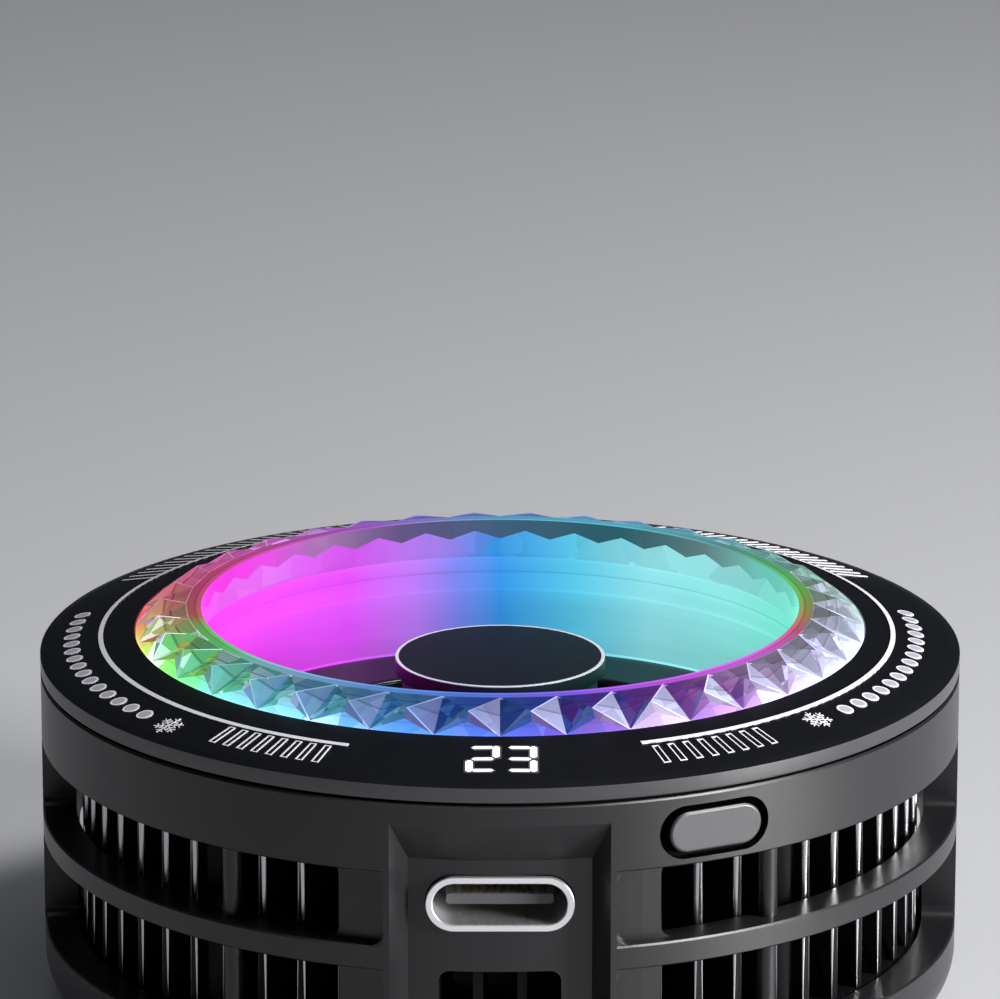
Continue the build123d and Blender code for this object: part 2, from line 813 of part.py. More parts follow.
cap_top = crystal_top - hub_depth
cap_bottom = cap_top - cap_thickness
motor_base_top = sink_top + motor_base_thickness
motor_step_top = motor_base_top + motor_step_height
motor_board_top = motor_step_top + motor_board_thickness
tube_bottom = sink_top
bearing_bottom = tube_bottom + thrust_thickness + running_gap
rotor_bottom = motor_board_top + 2 * running_gap
rotor_magnet_inner = stator_outer + magnet_gap_radial
rotor_magnet_outer = rotor_magnet_inner + rotor_magnet_wall
yoke_radius = rotor_magnet_outer + yoke_wall
yoke_top = cap_bottom - cap_above_yoke
tube_top = yoke_top - yoke_wall - tube_below_yoke
bearing_top = tube_top - bearing_below_tube


def motor_base():
    body = ring(tube_outer, motor_base_radius, sink_top, motor_base_top)
    return body + ring(tube_outer, motor_step_radius, sink_top, motor_step_top)


def motor_board():
    return ring(tube_outer + seat_gap, motor_board_radius, motor_step_top, motor_board_top)


def bearing_tube():
    return ring(tube_inner, tube_outer, tube_bottom, tube_top)


def thrust_pad():
    return ring(0, tube_inner, tube_bottom, tube_bottom + thrust_thickness)


def sleeve_bearing():
    return ring(shaft_radius + shaft_gap, tube_inner, bearing_bottom, bearing_top)


def stator_middle():
    return (rotor_bottom + yoke_top - yoke_wall) / 2


def stator_core():
    bottom = stator_middle() - stator_height / 2
    hub = tube_outer + pole_neck / 2
    body = ring(tube_outer, hub, bottom, bottom + stator_height)
    pitch = 360 / stator_poles
    half = pitch * pole_shoe_half_share
    for index in range(stator_poles):
        neck = block(-pole_neck / 2, pole_neck / 2, -stator_outer + pole_shoe / 2, -hub + seat_gap,
                     bottom, bottom + stator_height)
        turn = Rot(0, 0, index * pitch)
        shoe = sector(stator_outer - pole_shoe, stator_outer, bottom, bottom + stator_height, -half, half)
        body += turn * (neck + shoe)
    return body


def stator_coils():
    # one winding round each pole's neck
    hub = tube_outer + pole_neck / 2 + seat_gap
    tall = stator_height / 2 + coil_thickness
    wide = pole_neck / 2 + coil_thickness
    front = math.sqrt((stator_outer - pole_shoe) ** 2 - wide ** 2) - seat_gap / 2
    middle = stator_middle()
    coil = block(-wide, wide, -front, -hub, middle - tall, middle + tall)
    coil = fillet(coil.edges().filter_by(Axis.Y), coil_thickness / 2)
    half = pole_neck / 2
    coil -= block(-half, half, -front, -hub, middle - stator_height / 2, middle + stator_height / 2)
    pitch = 360 / stator_poles
    return Compound(children=[Rot(0, 0, index * pitch) * coil for index in range(stator_poles)])


def rotor_yoke():
    body = ring(rotor_magnet_outer, yoke_radius, rotor_bottom, yoke_top - yoke_wall)
    return body + ring(shaft_radius, yoke_radius, yoke_top - yoke_wall, yoke_top)


def rotor_magnet():
    return ring(rotor_magnet_inner, rotor_magnet_outer, rotor_bottom + seat_gap, yoke_top - yoke_wall)


def shaft():
    bottom = tube_bottom + thrust_thickness + seat_gap
    return ring(0, shaft_radius, bottom, yoke_top + hub_web / 2)


# Impeller and hub cap

blade_count = 11
blade_thickness = 0.8
blade_gap = 1.6                  # between the blades' tips and the fins
blade_sweep = 48.0               # degrees from root to tip
blade_bend_share = 0.4
blade_back_plate_set_in = 2.8    # inside the air eye
blade_back_plate_thickness = 0.7
blade_root_rise = 2.6
hub_wall = 0.75
hub_web = 1.4
hub_cap_overhang = 0.58
hub_recess_wall = 0.9
cap_chamfer = 0.22
cap_spigot = 0.5

blade_tip_radius = fin_inner - blade_gap
blade_back_plate_radius = duct_eye_radius - blade_back_plate_set_in
hub_neck_radius = hub_radius - hub_cap_overhang


def impeller_blade():
    # a backward-curved vane between two arcs, drawn flat and lifted
    root = yoke_radius
    tip = blade_tip_radius
    sweep = math.radians(blade_sweep)
    start = Vector(0, -root)
    end = Vector(tip * math.sin(sweep), -tip * math.cos(sweep))
    middle_radius = (root + tip) / 2
    bend = sweep * blade_bend_share
    via = Vector(middle_radius * math.sin(bend), -middle_radius * math.cos(bend))
    line = ThreePointArc(start, via, end)
    return offset(line, blade_thickness / 2, side=Side.BOTH)


def impeller():
    bottom = rotor_bottom
    duct_clear = duct_bottom - running_gap
    vane = extrude(make_face(impeller_blade()), cap_bottom)
    envelope = turned([
        (yoke_radius + hub_wall / 2, bottom), (blade_tip_radius - blade_thickness, bottom),
        (blade_tip_radius, bottom + blade_thickness), (blade_tip_radius, duct_clear),
        (duct_eye_radius - running_gap, duct_clear),
        (yoke_radius + hub_wall / 2, duct_clear + blade_root_rise)])
    vane &= envelope
    vanes = [Rot(0, 0, index * 360 / blade_count) * vane for index in range(blade_count)]
    hub = turned([
        (0, bottom), (yoke_radius + hub_wall, bottom), (yoke_radius + hub_wall, duct_clear),
        (hub_neck_radius, cap_bottom), (0, cap_bottom)])
    hub += ring(0, blade_back_plate_radius, bottom, bottom + blade_back_plate_thickness)
    body = hub + vanes
    body -= ring(0, yoke_radius, bottom, yoke_top)
    body -= ring(0, shaft_radius, yoke_top, yoke_top + hub_web / 2)
    return body - ring(0, hub_neck_radius - hub_recess_wall, yoke_top + hub_web, cap_bottom)


def hub_cap():
    disc = ring(0, hub_radius, cap_bottom, cap_top)
    disc = chamfer(disc.edges().sort_by(Axis.Z)[-1], cap_chamfer)
    return disc + ring(0, hub_neck_radius - hub_recess_wall - seat_gap, cap_bottom - cap_spigot, cap_bottom)


# Writing the pieces

pieces = {
    "casing": casing,
    "trim_ring": trim_ring,
    "top_plate": top_plate,
    "crystal_ring": crystal_ring,
    "light_guide": light_guide,
    "diffuser_film": diffuser_film,
    "lamp_board": lamp_board,
    "lamps": lamps,
    "display_module": display_module,
    "deck": deck,
    "inlet_ring": inlet_ring,
    "mode_button": mode_button,
    "switch_plunger": switch_plunger,
    "switch_body": switch_body,
    "socket_shell": socket_shell,
    "socket_tongue": socket_tongue,
    "main_board": main_board,
    "board_chips": board_chips,
    "hub_cap": hub_cap,
    "impeller": impeller,
    "rotor_yoke": rotor_yoke,
    "rotor_magnet": rotor_magnet,
    "shaft": shaft,
    "sleeve_bearing": sleeve_bearing,
    "bearing_tube": bearing_tube,
    "thrust_pad": thrust_pad,
    "stator_core": stator_core,
    "stator_coils": stator_coils,
    "motor_board": motor_board,
    "motor_base": motor_base,
    "heat_sink": heat_sink,
    "hot_paste": hot_paste,
    "module_hot_side": module_hot_side,
    "module_pellets": module_pellets,
    "module_cold_side": module_cold_side,
    "cold_paste": cold_paste,
    "cold_plate": cold_plate,
    "foam_ring": foam_ring,
    "magnets": magnets,
    "magnet_yoke": magnet_yoke,
    "base_cover": base_cover,
    "soft_pad": soft_pad,
    "base_screws": base_screws,
    "frame_screws": frame_screws,
    "board_screws": board_screws,
}

os.makedirs("parts", exist_ok=True)
for name, make in pieces.items():
    export_step(make(), "parts/" + name + ".step")
    print("wrote", name)
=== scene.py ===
import bpy
import bmesh
import math
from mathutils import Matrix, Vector


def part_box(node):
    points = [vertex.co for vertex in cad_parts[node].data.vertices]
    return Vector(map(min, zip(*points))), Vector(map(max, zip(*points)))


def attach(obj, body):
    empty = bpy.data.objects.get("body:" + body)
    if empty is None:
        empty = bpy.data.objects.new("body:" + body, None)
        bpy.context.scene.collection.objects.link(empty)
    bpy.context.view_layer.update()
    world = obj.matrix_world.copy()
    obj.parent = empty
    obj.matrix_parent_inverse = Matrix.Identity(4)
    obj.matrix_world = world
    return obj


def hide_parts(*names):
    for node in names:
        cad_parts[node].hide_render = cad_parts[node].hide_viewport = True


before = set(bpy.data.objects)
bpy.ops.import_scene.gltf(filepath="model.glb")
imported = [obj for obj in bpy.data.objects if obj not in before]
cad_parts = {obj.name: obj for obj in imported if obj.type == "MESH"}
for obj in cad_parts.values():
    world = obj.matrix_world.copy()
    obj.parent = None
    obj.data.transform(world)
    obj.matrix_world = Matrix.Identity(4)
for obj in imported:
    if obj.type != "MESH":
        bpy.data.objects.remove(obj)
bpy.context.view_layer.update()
print("frame loaded with", len(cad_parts), "nodes")

mm = 0.001
# points that lie nearer to each other than this become one
welds = {"turned": 0.0005 * mm, "node": 0.004 * mm, "facets": 0.002 * mm, "ribbon": 0.001 * mm}


def polar(radius, azimuth, height):
    # azimuths are degrees from the front towards +X, as seen from above
    turn = math.radians(azimuth)
    return Vector((radius * math.sin(turn), -radius * math.cos(turn), height))


# mesh helpers

def addObject(name, data):
    made = bpy.data.objects.new(name, data)
    bpy.context.scene.collection.objects.link(made)
    return made


def addMesh(name, verts, faces, material=None):
    mesh = bpy.data.meshes.new(name)
    mesh.from_pydata([tuple(v) for v in verts], [], faces)
    mesh.validate()
    if material:
        mesh.materials.append(material)
    return addObject(name, mesh)


def reshape(piece, change=None):
    # edits the mesh where there is a change to make, and turns all faces outwards
    shape = bmesh.new()
    shape.from_mesh(piece.data)
    if change:
        change(shape)
    bmesh.ops.recalc_face_normals(shape, faces=shape.faces)
    shape.to_mesh(piece.data)
    shape.free()
    return piece


def smoothPiece(piece, angle):
    piece.data.shade_smooth()
    piece.data.set_sharp_from_angle(angle=math.radians(angle))


def settle(piece):
    # the live modifiers become a plain mesh
    bpy.context.view_layer.update()
    depsgraph = bpy.context.evaluated_depsgraph_get()
    old = piece.data
    piece.data = bpy.data.meshes.new_from_object(
        piece.evaluated_get(depsgraph), preserve_all_data_layers=True, depsgraph=depsgraph)
    piece.modifiers.clear()
    piece.data.name = piece.name
    bpy.data.meshes.remove(old)


def keepPiece(piece, slot, *nodes, body="root"):
    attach(piece, body)
    if nodes:
        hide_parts(*nodes)


def roundCorners(points, sizes, steps, most=0.45):
    # each corner of a closed outline becomes a short curve that takes no more than a share of each side
    rounded = []
    points = [Vector(point) for point in points]
    for index, (corner, size) in enumerate(zip(points, sizes)):
        before = points[index - 1] - corner
        after = points[(index + 1) % len(points)] - corner
        size = min(size, before.length * most, after.length * most)
        if size <= 0:
            rounded.append(corner)
            continue
        start = corner + before.normalized() * size
        end = corner + after.normalized() * size
        for step in range(steps + 1):
            t = step / steps
            rounded.append((1 - t) ** 2 * start + 2 * t * (1 - t) * corner + t ** 2 * end)
    return rounded


def lathe(name, material, corners, sizes, steps=4, segments=192, sharpAngle=50):
    # corners are (radius, height) pairs round a closed section, each rounded by its own size
    outline = roundCorners(corners, sizes, steps)
    count = len(outline)
    verts = []
    faces = []
    for segment in range(segments):
        turn = 2 * math.pi * segment / segments
        verts += [(radius * math.cos(turn), radius * math.sin(turn), height) for radius, height in outline]
        here = segment * count
        there = (segment + 1) % segments * count
        faces += [(here + k, there + k, there + (k + 1) % count, here + (k + 1) % count)
                  for k in range(count)]
    piece = addMesh(name, verts, faces, material)
    reshape(piece, lambda shape: bmesh.ops.remove_doubles(shape, verts=shape.verts, dist=welds["turned"]))
    smoothPiece(piece, sharpAngle)
    return piece


def band(name, material, low, high, outer, inner, sizes, steps=4, segments=192, sharpAngle=50):
    # sizes are those of the outer edge's foot and top, then of the inner edge's top and foot
    corners = [(outer, low), (outer, high), (inner, high), (inner, low)]
    return lathe(name, material, corners, sizes, steps, segments, sharpAngle)


def slabFaces(count, base=0):
    # faces of a closed slab whose upper outline comes before its lower one
    faces = [range(count), [count + k for k in reversed(range(count))]]
    faces += [((k + 1) % count, k, count + k, count + (k + 1) % count) for k in range(count)]
    return [tuple(base + k for k in face) for face in faces]


# node helpers: what a node is given is a constant or the socket that feeds it

def give(tree, node, given):
    for slot, value in given.items():
        if isinstance(value, bpy.types.NodeSocket):
            tree.links.new(value, node.inputs[slot])
        else:
            node.inputs[slot].default_value = value


def addNode(tree, kind, given, **settings):
    node = tree.nodes.new(kind)
    for name, value in settings.items():
        setattr(node, name, value)
    give(tree, node, given)
    return node


def calc(tree, operation, *values):
    return addNode(tree, "ShaderNodeMath", dict(enumerate(values)), operation=operation).outputs[0]


# Geometry Nodes: repeats the modelled tile round the fan's axis or along a row

def repeatTree():
    tree = bpy.data.node_groups.new("repeatTile", "GeometryNodeTree")
    tree.interface.new_socket("Geometry", in_out="OUTPUT", socket_type="NodeSocketGeometry")
    inputs = {"tile": "Geometry", "count": "Int", "firstAngle": "Float", "stepAngle": "Float",
              "firstPlace": "Vector", "step": "Vector", "weld": "Float", "material": "Material"}
    for name, kind in inputs.items():
        tree.interface.new_socket(name, in_out="INPUT", socket_type="NodeSocket" + kind)
    given = tree.nodes.new("NodeGroupInput").outputs
    spots = addNode(tree, "GeometryNodeMeshLine", {
        "Count": given["count"], "Start Location": given["firstPlace"], "Offset": given["step"]},
        mode="OFFSET")
    index = addNode(tree, "GeometryNodeInputIndex", {})
    turned = calc(tree, "MULTIPLY_ADD", index.outputs[0], given["stepAngle"], given["firstAngle"])
    spin = addNode(tree, "ShaderNodeCombineXYZ", {"Z": turned})
    asTurn = addNode(tree, "FunctionNodeEulerToRotation", {0: spin.outputs[0]})
    copies = addNode(tree, "GeometryNodeInstanceOnPoints", {
        "Points": spots.outputs["Mesh"], "Instance": given["tile"], "Rotation": asTurn.outputs[0]})
    real = addNode(tree, "GeometryNodeRealizeInstances", {"Geometry": copies.outputs["Instances"]})
    weld = addNode(tree, "GeometryNodeMergeByDistance", {
        "Geometry": real.outputs["Geometry"], "Distance": given["weld"]})
    paint = addNode(tree, "GeometryNodeSetMaterial", {
        "Geometry": weld.outputs["Geometry"], "Material": given["material"]})
    addNode(tree, "NodeGroupOutput", {0: paint.outputs["Geometry"]})
    return tree


tileTree = repeatTree()


def repeatTile(piece, **values):
    live = piece.modifiers.new("repeat", "NODES")
    live.node_group = tileTree
    for item in tileTree.interface.items_tree:
        if item.item_type == "SOCKET" and item.in_out == "INPUT" and item.name in values:
            live[item.identifier] = values[item.name]
    settle(piece)


def repeatRound(piece, material, count, firstAzimuth, stepAzimuth, weld=0.0):
    repeatTile(piece, material=material, count=count, weld=weld,
               firstAngle=math.radians(firstAzimuth), stepAngle=math.radians(stepAzimuth))


# material helpers

def startMaterial(name):
    material = bpy.data.materials.new(name)
    material.use_nodes = True
    addNode(material.node_tree, "ShaderNodeTexCoord", {}, name="place")
    return material, material.node_tree


def placeIn(tree):
    return tree.nodes["place"].outputs["Object"]


def shade(tree, given):
    give(tree, tree.nodes["Principled BSDF"], given)


def noiseAt(tree, scale, detail=2, stretch=(1, 1, 1)):
    fit = addNode(tree, "ShaderNodeMapping", {"Vector": placeIn(tree), "Scale": stretch})
    noise = addNode(tree, "ShaderNodeTexNoise", {"Vector": fit.outputs[0], "Scale": scale, "Detail": detail})
    return noise.outputs["Fac"]


def seen(red, green, blue):
    # a tone as it looks on a screen, turned into the renderer's linear values
    return tuple((value / 255) ** 2.2 for value in (red, green, blue))


def rangeOf(tree, socket, low, high, fromLow=0.15, fromHigh=0.85):
    spread = addNode(tree, "ShaderNodeMapRange", {
        "Value": socket, "From Min": fromLow, "From Max": fromHigh, "To Min": low, "To Max": high})
    return spread.outputs["Result"]


def colourOf(tree, socket, stops):
    ramp = addNode(tree, "ShaderNodeValToRGB", {"Fac": socket})
    points = ramp.color_ramp.elements
    points.remove(points[-1])
    for number, (where, colour) in enumerate(stops):
        point = points[0] if number == 0 else points.new(where)
        point.position = where
        point.color = (*colour, 1)
    return ramp.outputs["Color"]


def levels(stops):
    # brightness stops as greys; a bare number is one level throughout
    stops = stops if isinstance(stops, dict) else {0: stops}
    return [(at, (value,) * 3) for at, value in stops.items()]


def roundTheRing(stops):
    # azimuths become shares of the turn, and stops that start at the back end there with the same tone
    if stops[0][0] == -180 and stops[-1][0] < 180:
        stops = [*stops, (180, stops[0][1])]
    return [((azimuth + 180) / 360, value) for azimuth, value in stops]


def mixOf(tree, share, first, second):
    mix = addNode(tree, "ShaderNodeMix", {"Factor": share, "A": first, "B": second}, data_type="RGBA")
    return mix.outputs["Result"]


def bumpOf(tree, socket, depth, reach=0.01 * mm):
    bump = addNode(tree, "ShaderNodeBump", {"Height": socket, "Strength": depth, "Distance": reach})
    return bump.outputs["Normal"]


def ringPlace(tree):
    # share of the turn, from the back by the left to the front and on to the back, and the height
    split = addNode(tree, "ShaderNodeSeparateXYZ", {0: placeIn(tree)}).outputs
    turn = calc(tree, "ARCTAN2", split["X"], calc(tree, "MULTIPLY", split["Y"], -1))
    return rangeOf(tree, turn, 0, 1, -math.pi, math.pi), split["Z"]


def finish(name, dark, light, smooth, rough, specular=0.5, metal=0, coat=0,
           grainDepth=0.15, grainScale=9000, grainStretch=(1, 1, 1), cloudScale=60, glossScale=240):
    # a moulded, painted or machined finish: slow clouds of tone, uneven gloss and a fine grain
    material, tree = startMaterial(name)
    shade(tree, {
        "Base Color": colourOf(tree, noiseAt(tree, cloudScale, 3), [(0.2, dark), (0.8, light)]),
        "Roughness": rangeOf(tree, noiseAt(tree, glossScale), smooth, rough),
        "Normal": bumpOf(tree, noiseAt(tree, grainScale, 2, grainStretch), grainDepth),
        "Metallic": metal, "Specular IOR Level": specular, "Coat Weight": coat, "Coat Roughness": 0.1})
    return material


# finishes of the pieces: darkest and lightest tone, smoothest and roughest gloss, and what else differs

looks = {
    "casing": ((0.004, 0.004, 0.005), (0.006, 0.006, 0.007), 0.31, 0.37,
               {"specular": 0.52, "grainDepth": 0.08, "grainScale": 7000}),
    "button": ((0.022, 0.022, 0.025), (0.028, 0.028, 0.031), 0.36, 0.42,
               {"specular": 0.55, "grainDepth": 0.08, "grainScale": 7000}),
    "plate": ((0.0028, 0.003, 0.0038), (0.0045, 0.0048, 0.006), 0.26, 0.34,
              {"specular": 0.2, "grainDepth": 0.04, "grainScale": 5000}),
    "trim": ((0.014, 0.014, 0.016), (0.019, 0.019, 0.022), 0.27, 0.33,
             {"specular": 0.85, "grainDepth": 0.06}),
    "cap": ((0.008, 0.01, 0.015), (0.011, 0.014, 0.02), 0.26, 0.36, {"specular": 0.3, "grainDepth": 0.06}),
    # the ring at the hub disc's edge is pale: a painted highlight along the edge
    "capRimHighlight": ((0.55, 0.56, 0.62), (0.68, 0.69, 0.75), 0.25, 0.35, {"specular": 0.6, "grainDepth": 0.03}),
    "fan": ((0.008, 0.008, 0.009), (0.012, 0.012, 0.013), 0.32, 0.45, {"specular": 0.3}),
    "frame": ((0.006, 0.006, 0.007), (0.01, 0.01, 0.011), 0.5, 0.65, {"specular": 0.25}),
    # the gap finish is near-black: painted shade for faces in pockets and grooves
    "gap": ((0.0008, 0.0008, 0.001), (0.0016, 0.0016, 0.002), 0.6, 0.8, {"specular": 0.03}),
    "fins": ((0.003, 0.003, 0.004), (0.005, 0.005, 0.006), 0.3, 0.42,
             {"specular": 0.1, "grainStretch": (1, 1, 0.05), "grainDepth": 0.12}),
    "finEdge": ((0.4, 0.4, 0.42), (0.52, 0.52, 0.54), 0.22, 0.3,
                {"metal": 1.0, "grainStretch": (1, 1, 0.05), "grainDepth": 0.1}),
    "board": ((0.006, 0.03, 0.016), (0.01, 0.045, 0.024), 0.3, 0.45, {"coat": 0.4}),
    "lamp": ((0.7, 0.68, 0.55), (0.82, 0.8, 0.66), 0.2, 0.3),
    "whitePlastic": ((0.62, 0.61, 0.58), (0.72, 0.71, 0.68), 0.35, 0.5),
    "tongue": ((0.045, 0.045, 0.048), (0.065, 0.065, 0.07), 0.35, 0.5),
    "blackPlastic": ((0.01, 0.01, 0.01), (0.017, 0.017, 0.017), 0.35, 0.5),
    "steel": ((0.42, 0.42, 0.44), (0.56, 0.56, 0.58), 0.2, 0.32, {"metal": 1.0}),
    "socket": ((0.7, 0.7, 0.73), (0.82, 0.82, 0.84), 0.16, 0.26, {"metal": 0.8, "grainDepth": 0.05}),
    "blackSteel": ((0.045, 0.045, 0.05), (0.07, 0.07, 0.075), 0.3, 0.42, {"metal": 1.0}),
    "nickel": ((0.52, 0.51, 0.48), (0.62, 0.61, 0.58), 0.16, 0.26, {"metal": 1.0}),
    "bronze": ((0.42, 0.26, 0.12), (0.52, 0.34, 0.16), 0.3, 0.45, {"metal": 1.0}),
    "gold": ((0.75, 0.52, 0.2), (0.85, 0.62, 0.28), 0.18, 0.28, {"metal": 1.0}),
    "ceramic": ((0.78, 0.78, 0.76), (0.86, 0.86, 0.84), 0.45, 0.6),
    "pellet": ((0.16, 0.16, 0.18), (0.26, 0.26, 0.28), 0.4, 0.6, {"metal": 0.7}),
    "paste": ((0.55, 0.55, 0.56), (0.68, 0.68, 0.69), 0.5, 0.7),
    "foam": ((0.012, 0.012, 0.012), (0.024, 0.024, 0.024), 0.8, 0.95,
             {"grainScale": 2500, "grainDepth": 0.6}),
    "rubber": ((0.014, 0.014, 0.015), (0.022, 0.022, 0.023), 0.6, 0.75,
               {"grainScale": 4000, "grainDepth": 0.3}),
}
finishes = {}
for name, (dark, light, smooth, rough, *more) in looks.items():
    finishes[name] = finish(name + "Finish", dark, light, smooth, rough, **dict(*more))
print("finishes made:", len(finishes))


# colours of the light round the ring, as they glow on a screen: azimuth, red, green, blue

def screenTones(*stops):
    return [(azimuth, seen(*tone)) for azimuth, *tone in stops]


ringTones = screenTones(
    (-180, 60, 130, 250), (-165, 120, 90, 250), (-150, 190, 60, 240), (-135, 240, 50, 210),
    (-115, 250, 60, 150), (-98, 240, 80, 90), (-88, 225, 130, 75), (-78, 215, 200, 80), (-70, 170, 240, 90),
    (-62, 110, 250, 110), (-50, 105, 250, 205), (-38, 105, 215, 250), (-20, 80, 165, 250), (-6, 60, 125, 250),
    (6, 70, 90, 240), (17, 120, 65, 225), (28, 160, 75, 225), (40, 215, 125, 240), (53, 235, 190, 245),
    (66, 240, 235, 250), (80, 235, 245, 240), (93, 200, 240, 190), (105, 150, 240, 190), (118, 110, 225, 190),
    (135, 80, 225, 235), (155, 75, 185, 250))
rimTones = screenTones(
    (-180, 90, 200, 240), (-155, 190, 90, 235), (-125, 235, 60, 160), (-102, 225, 50, 120),
    (-82, 205, 90, 70), (-72, 110, 215, 80), (-62, 100, 235, 110), (-48, 150, 210, 225), (-25, 90, 160, 245),
    (-5, 60, 115, 240), (12, 130, 80, 250), (30, 205, 75, 250), (55, 225, 85, 230), (72, 235, 80, 130),
    (84, 190, 170, 60), (97, 120, 220, 60), (112, 90, 230, 110), (130, 100, 180, 170), (155, 90, 220, 240))
greyTones = screenTones(
    (-180, 62, 92, 118), (-160, 92, 80, 124), (-142, 155, 110, 165), (-128, 215, 70, 215),
    (-115, 235, 50, 220), (-85, 220, 60, 190), (85, 90, 190, 160), (118, 110, 195, 180), (135, 95, 130, 130),
    (155, 44, 94, 104))
wallTones = [
    (-180, (0.04, 0.32, 0.84)), (-172, (0.18, 0.24, 0.86)), (-163, (0.48, 0.18, 0.87)),
    (-150, (0.69, 0.06, 0.90)), (-120, (0.88, 0.05, 0.91)), (-90, (0.90, 0.02, 0.80)),
    (-50, (0.9, 0.05, 0.9)), (-10, (0.10, 0.25, 1.0)), (40, (0.20, 0.80, 0.90)), (80, (0.08, 0.75, 0.40)),
    (110, (0.17, 0.83, 0.61)), (130, (0.28, 0.85, 0.81)), (150, (0.30, 0.82, 0.87)),
    (165, (0.11, 0.62, 0.85))]


# casing, button, deck and the other moulded pieces keep the model's shape, with softened edges

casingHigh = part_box("casing")[1]
buttonLow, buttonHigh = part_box("mode_button")
casingGaps = {"wall": casingHigh.x, "play": 0.03 * mm, "skin": 0.12 * mm, "margin": 0.6 * mm,
              "up": 0.9, "upright": 0.05, "flank": 0.35}


def inCasingShadeGap(face):
    # faces painted near-black as their shade: the button's pocket and the top face under the trim ring
    if face.center.xy.length > casingGaps["wall"] - casingGaps["skin"]:
        return False
    margin = casingGaps["margin"]
    inPocket = all(low - margin < at < high + margin
                   for low, at, high in zip(buttonLow, face.center, buttonHigh))
    onTop = face.normal.z > casingGaps["up"] and face.center.z > casingHigh.z - casingGaps["play"]
    return inPocket or onTop


def onShadedButtonSide(face):
    # the button's flanks, which face the pocket's walls, painted near-black as their shade
    return face.normal.xy.dot(face.center.xy.normalized()) < casingGaps["flank"]


# faces in a gap get the near-black gap finish, painted shade where the light doesn't reach
def paintGapShade(piece, inShadedGap):
    piece.data.materials.append(finishes["gap"])
    for face in piece.data.polygons:
        if inShadedGap(face):
            face.material_index = 1


def roundWall(mesh):
    # the outer wall shades as a true cylinder
    normals = [corner.vector.copy() for corner in mesh.corner_normals]
    for face in mesh.polygons:
        spots = [mesh.vertices[index].co for index in face.vertices]
        onWall = all(abs(spot.xy.length - casingGaps["wall"]) < casingGaps["play"] for spot in spots)
        if onWall and abs(face.normal.z) < casingGaps["upright"]:
            for loop, spot in zip(face.loop_indices, spots):
                normals[loop] = Vector((spot.x, spot.y, 0)).normalized()
    mesh.normals_split_custom_set(normals)


def dressNode(node, name, look, body, slot, edge, edgeAngle=40, sharpAngle=30, steps=2,
              noseFrom=None, gap=None, trueWall=False):
    piece = addObject(name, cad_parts[node].data.copy())
    mesh = piece.data
    mesh.materials.clear()
    mesh.materials.append(finishes[look])

    def simplify(shape):
        bmesh.ops.remove_doubles(shape, verts=shape.verts, dist=welds["node"])
        bmesh.ops.dissolve_limit(shape, angle_limit=math.radians(0.6), verts=shape.verts, edges=shape.edges)
        if noseFrom:     # only upright edges far out are rounded
            noses = shape.edges.layers.float.new("bevel_weight_edge")
            for side in shape.edges:
                upright = abs(side.verts[0].co.z - side.verts[1].co.z) > 0.9 * side.calc_length()
                if upright and min(vert.co.xy.length for vert in side.verts) > noseFrom:
                    side[noses] = 1.0

    reshape(piece, simplify)
    smoothPiece(piece, sharpAngle)
    soften = piece.modifiers.new("soften", "BEVEL")
    soften.width = edge * mm
    soften.segments = steps
    soften.angle_limit = math.radians(edgeAngle)
    if noseFrom:
        mesh.materials.append(finishes["finEdge"])
        soften.limit_method = "WEIGHT"
        soften.use_clamp_overlap = False
        soften.material = 1
    even = piece.modifiers.new("even", "WEIGHTED_NORMAL")
    even.keep_sharp = True
    settle(piece)
    # faces in gaps are painted near-black as their shade
    if gap:
        paintGapShade(piece, gap)
    if trueWall:
        roundWall(piece.data)
    keepPiece(piece, slot, node, body=body)


noseDepth = 0.3 * mm
# node: the piece's name, finish, body and slot, how far its edges are softened (mm), and what else it needs
dressed = {
    "casing": ("casingShell", "casing", "root", "casing_plastic", 0.06,
               {"edgeAngle": 17, "sharpAngle": 17, "gap": inCasingShadeGap, "trueWall": True}),
    "mode_button": ("modeButtonCap", "button", "button", "button_grey", 0.05, {"gap": onShadedButtonSide}),
    "deck": ("innerDeck", "frame", "root", "frame_black", 0.05),
    "heat_sink": ("finnedSink", "fins", "root", "black_fins", 0.26,
                  {"steps": 3, "noseFrom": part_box("heat_sink")[1].x - noseDepth}),
    "impeller": ("fanWheel", "fan", "rotor", "fan_black", 0.08),
    "socket_shell": ("socketShell", "socket", "root", "socket_steel", 0.07),
    "socket_tongue": ("socketTongue", "tongue", "root", "switch_black", 0.04),
    "base_cover": ("baseCover", "frame", "root", "frame_black", 0.08),
}
for node, (name, look, body, slot, edge, *more) in dressed.items():
    dressNode(node, name, look, body, slot, edge, **dict(*more))
print("moulded pieces dressed:", len(dressed))

# the nodes inside keep their own mesh
plainNodes = {
    "board": ("lamp_board", "main_board", "motor_board"), "lamp": ("lamps",), "frame": ("motor_base",),
    "blackPlastic": ("display_module", "switch_body", "board_chips"), "foam": ("foam_ring",),
    "whitePlastic": ("switch_plunger", "thrust_pad"), "pellet": ("module_pellets",),
    "steel": ("rotor_yoke", "shaft", "stator_core", "magnet_yoke"), "nickel": ("rotor_magnet", "magnets"),
    "bronze": ("sleeve_bearing", "bearing_tube", "stator_coils"), "paste": ("hot_paste", "cold_paste"),
    "ceramic": ("module_hot_side", "module_cold_side"),
    "blackSteel": ("base_screws", "frame_screws", "board_screws"),
}
for look, nodes in plainNodes.items():
    for node in nodes:
        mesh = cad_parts[node].data
        mesh.materials.clear()
        mesh.materials.append(finishes[look])


# top plate and trim

plateLow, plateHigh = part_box("top_plate")
topPlate = {
    "outer": plateHigh.x, "inner": 24.1 * mm, "bore": 23.82 * mm, "slopeStart": 29.4 * mm,
    "edgeHeight": 0.22 * mm, "softEdge": 0.35 * mm, "boreEdge": 0.08 * mm,
}


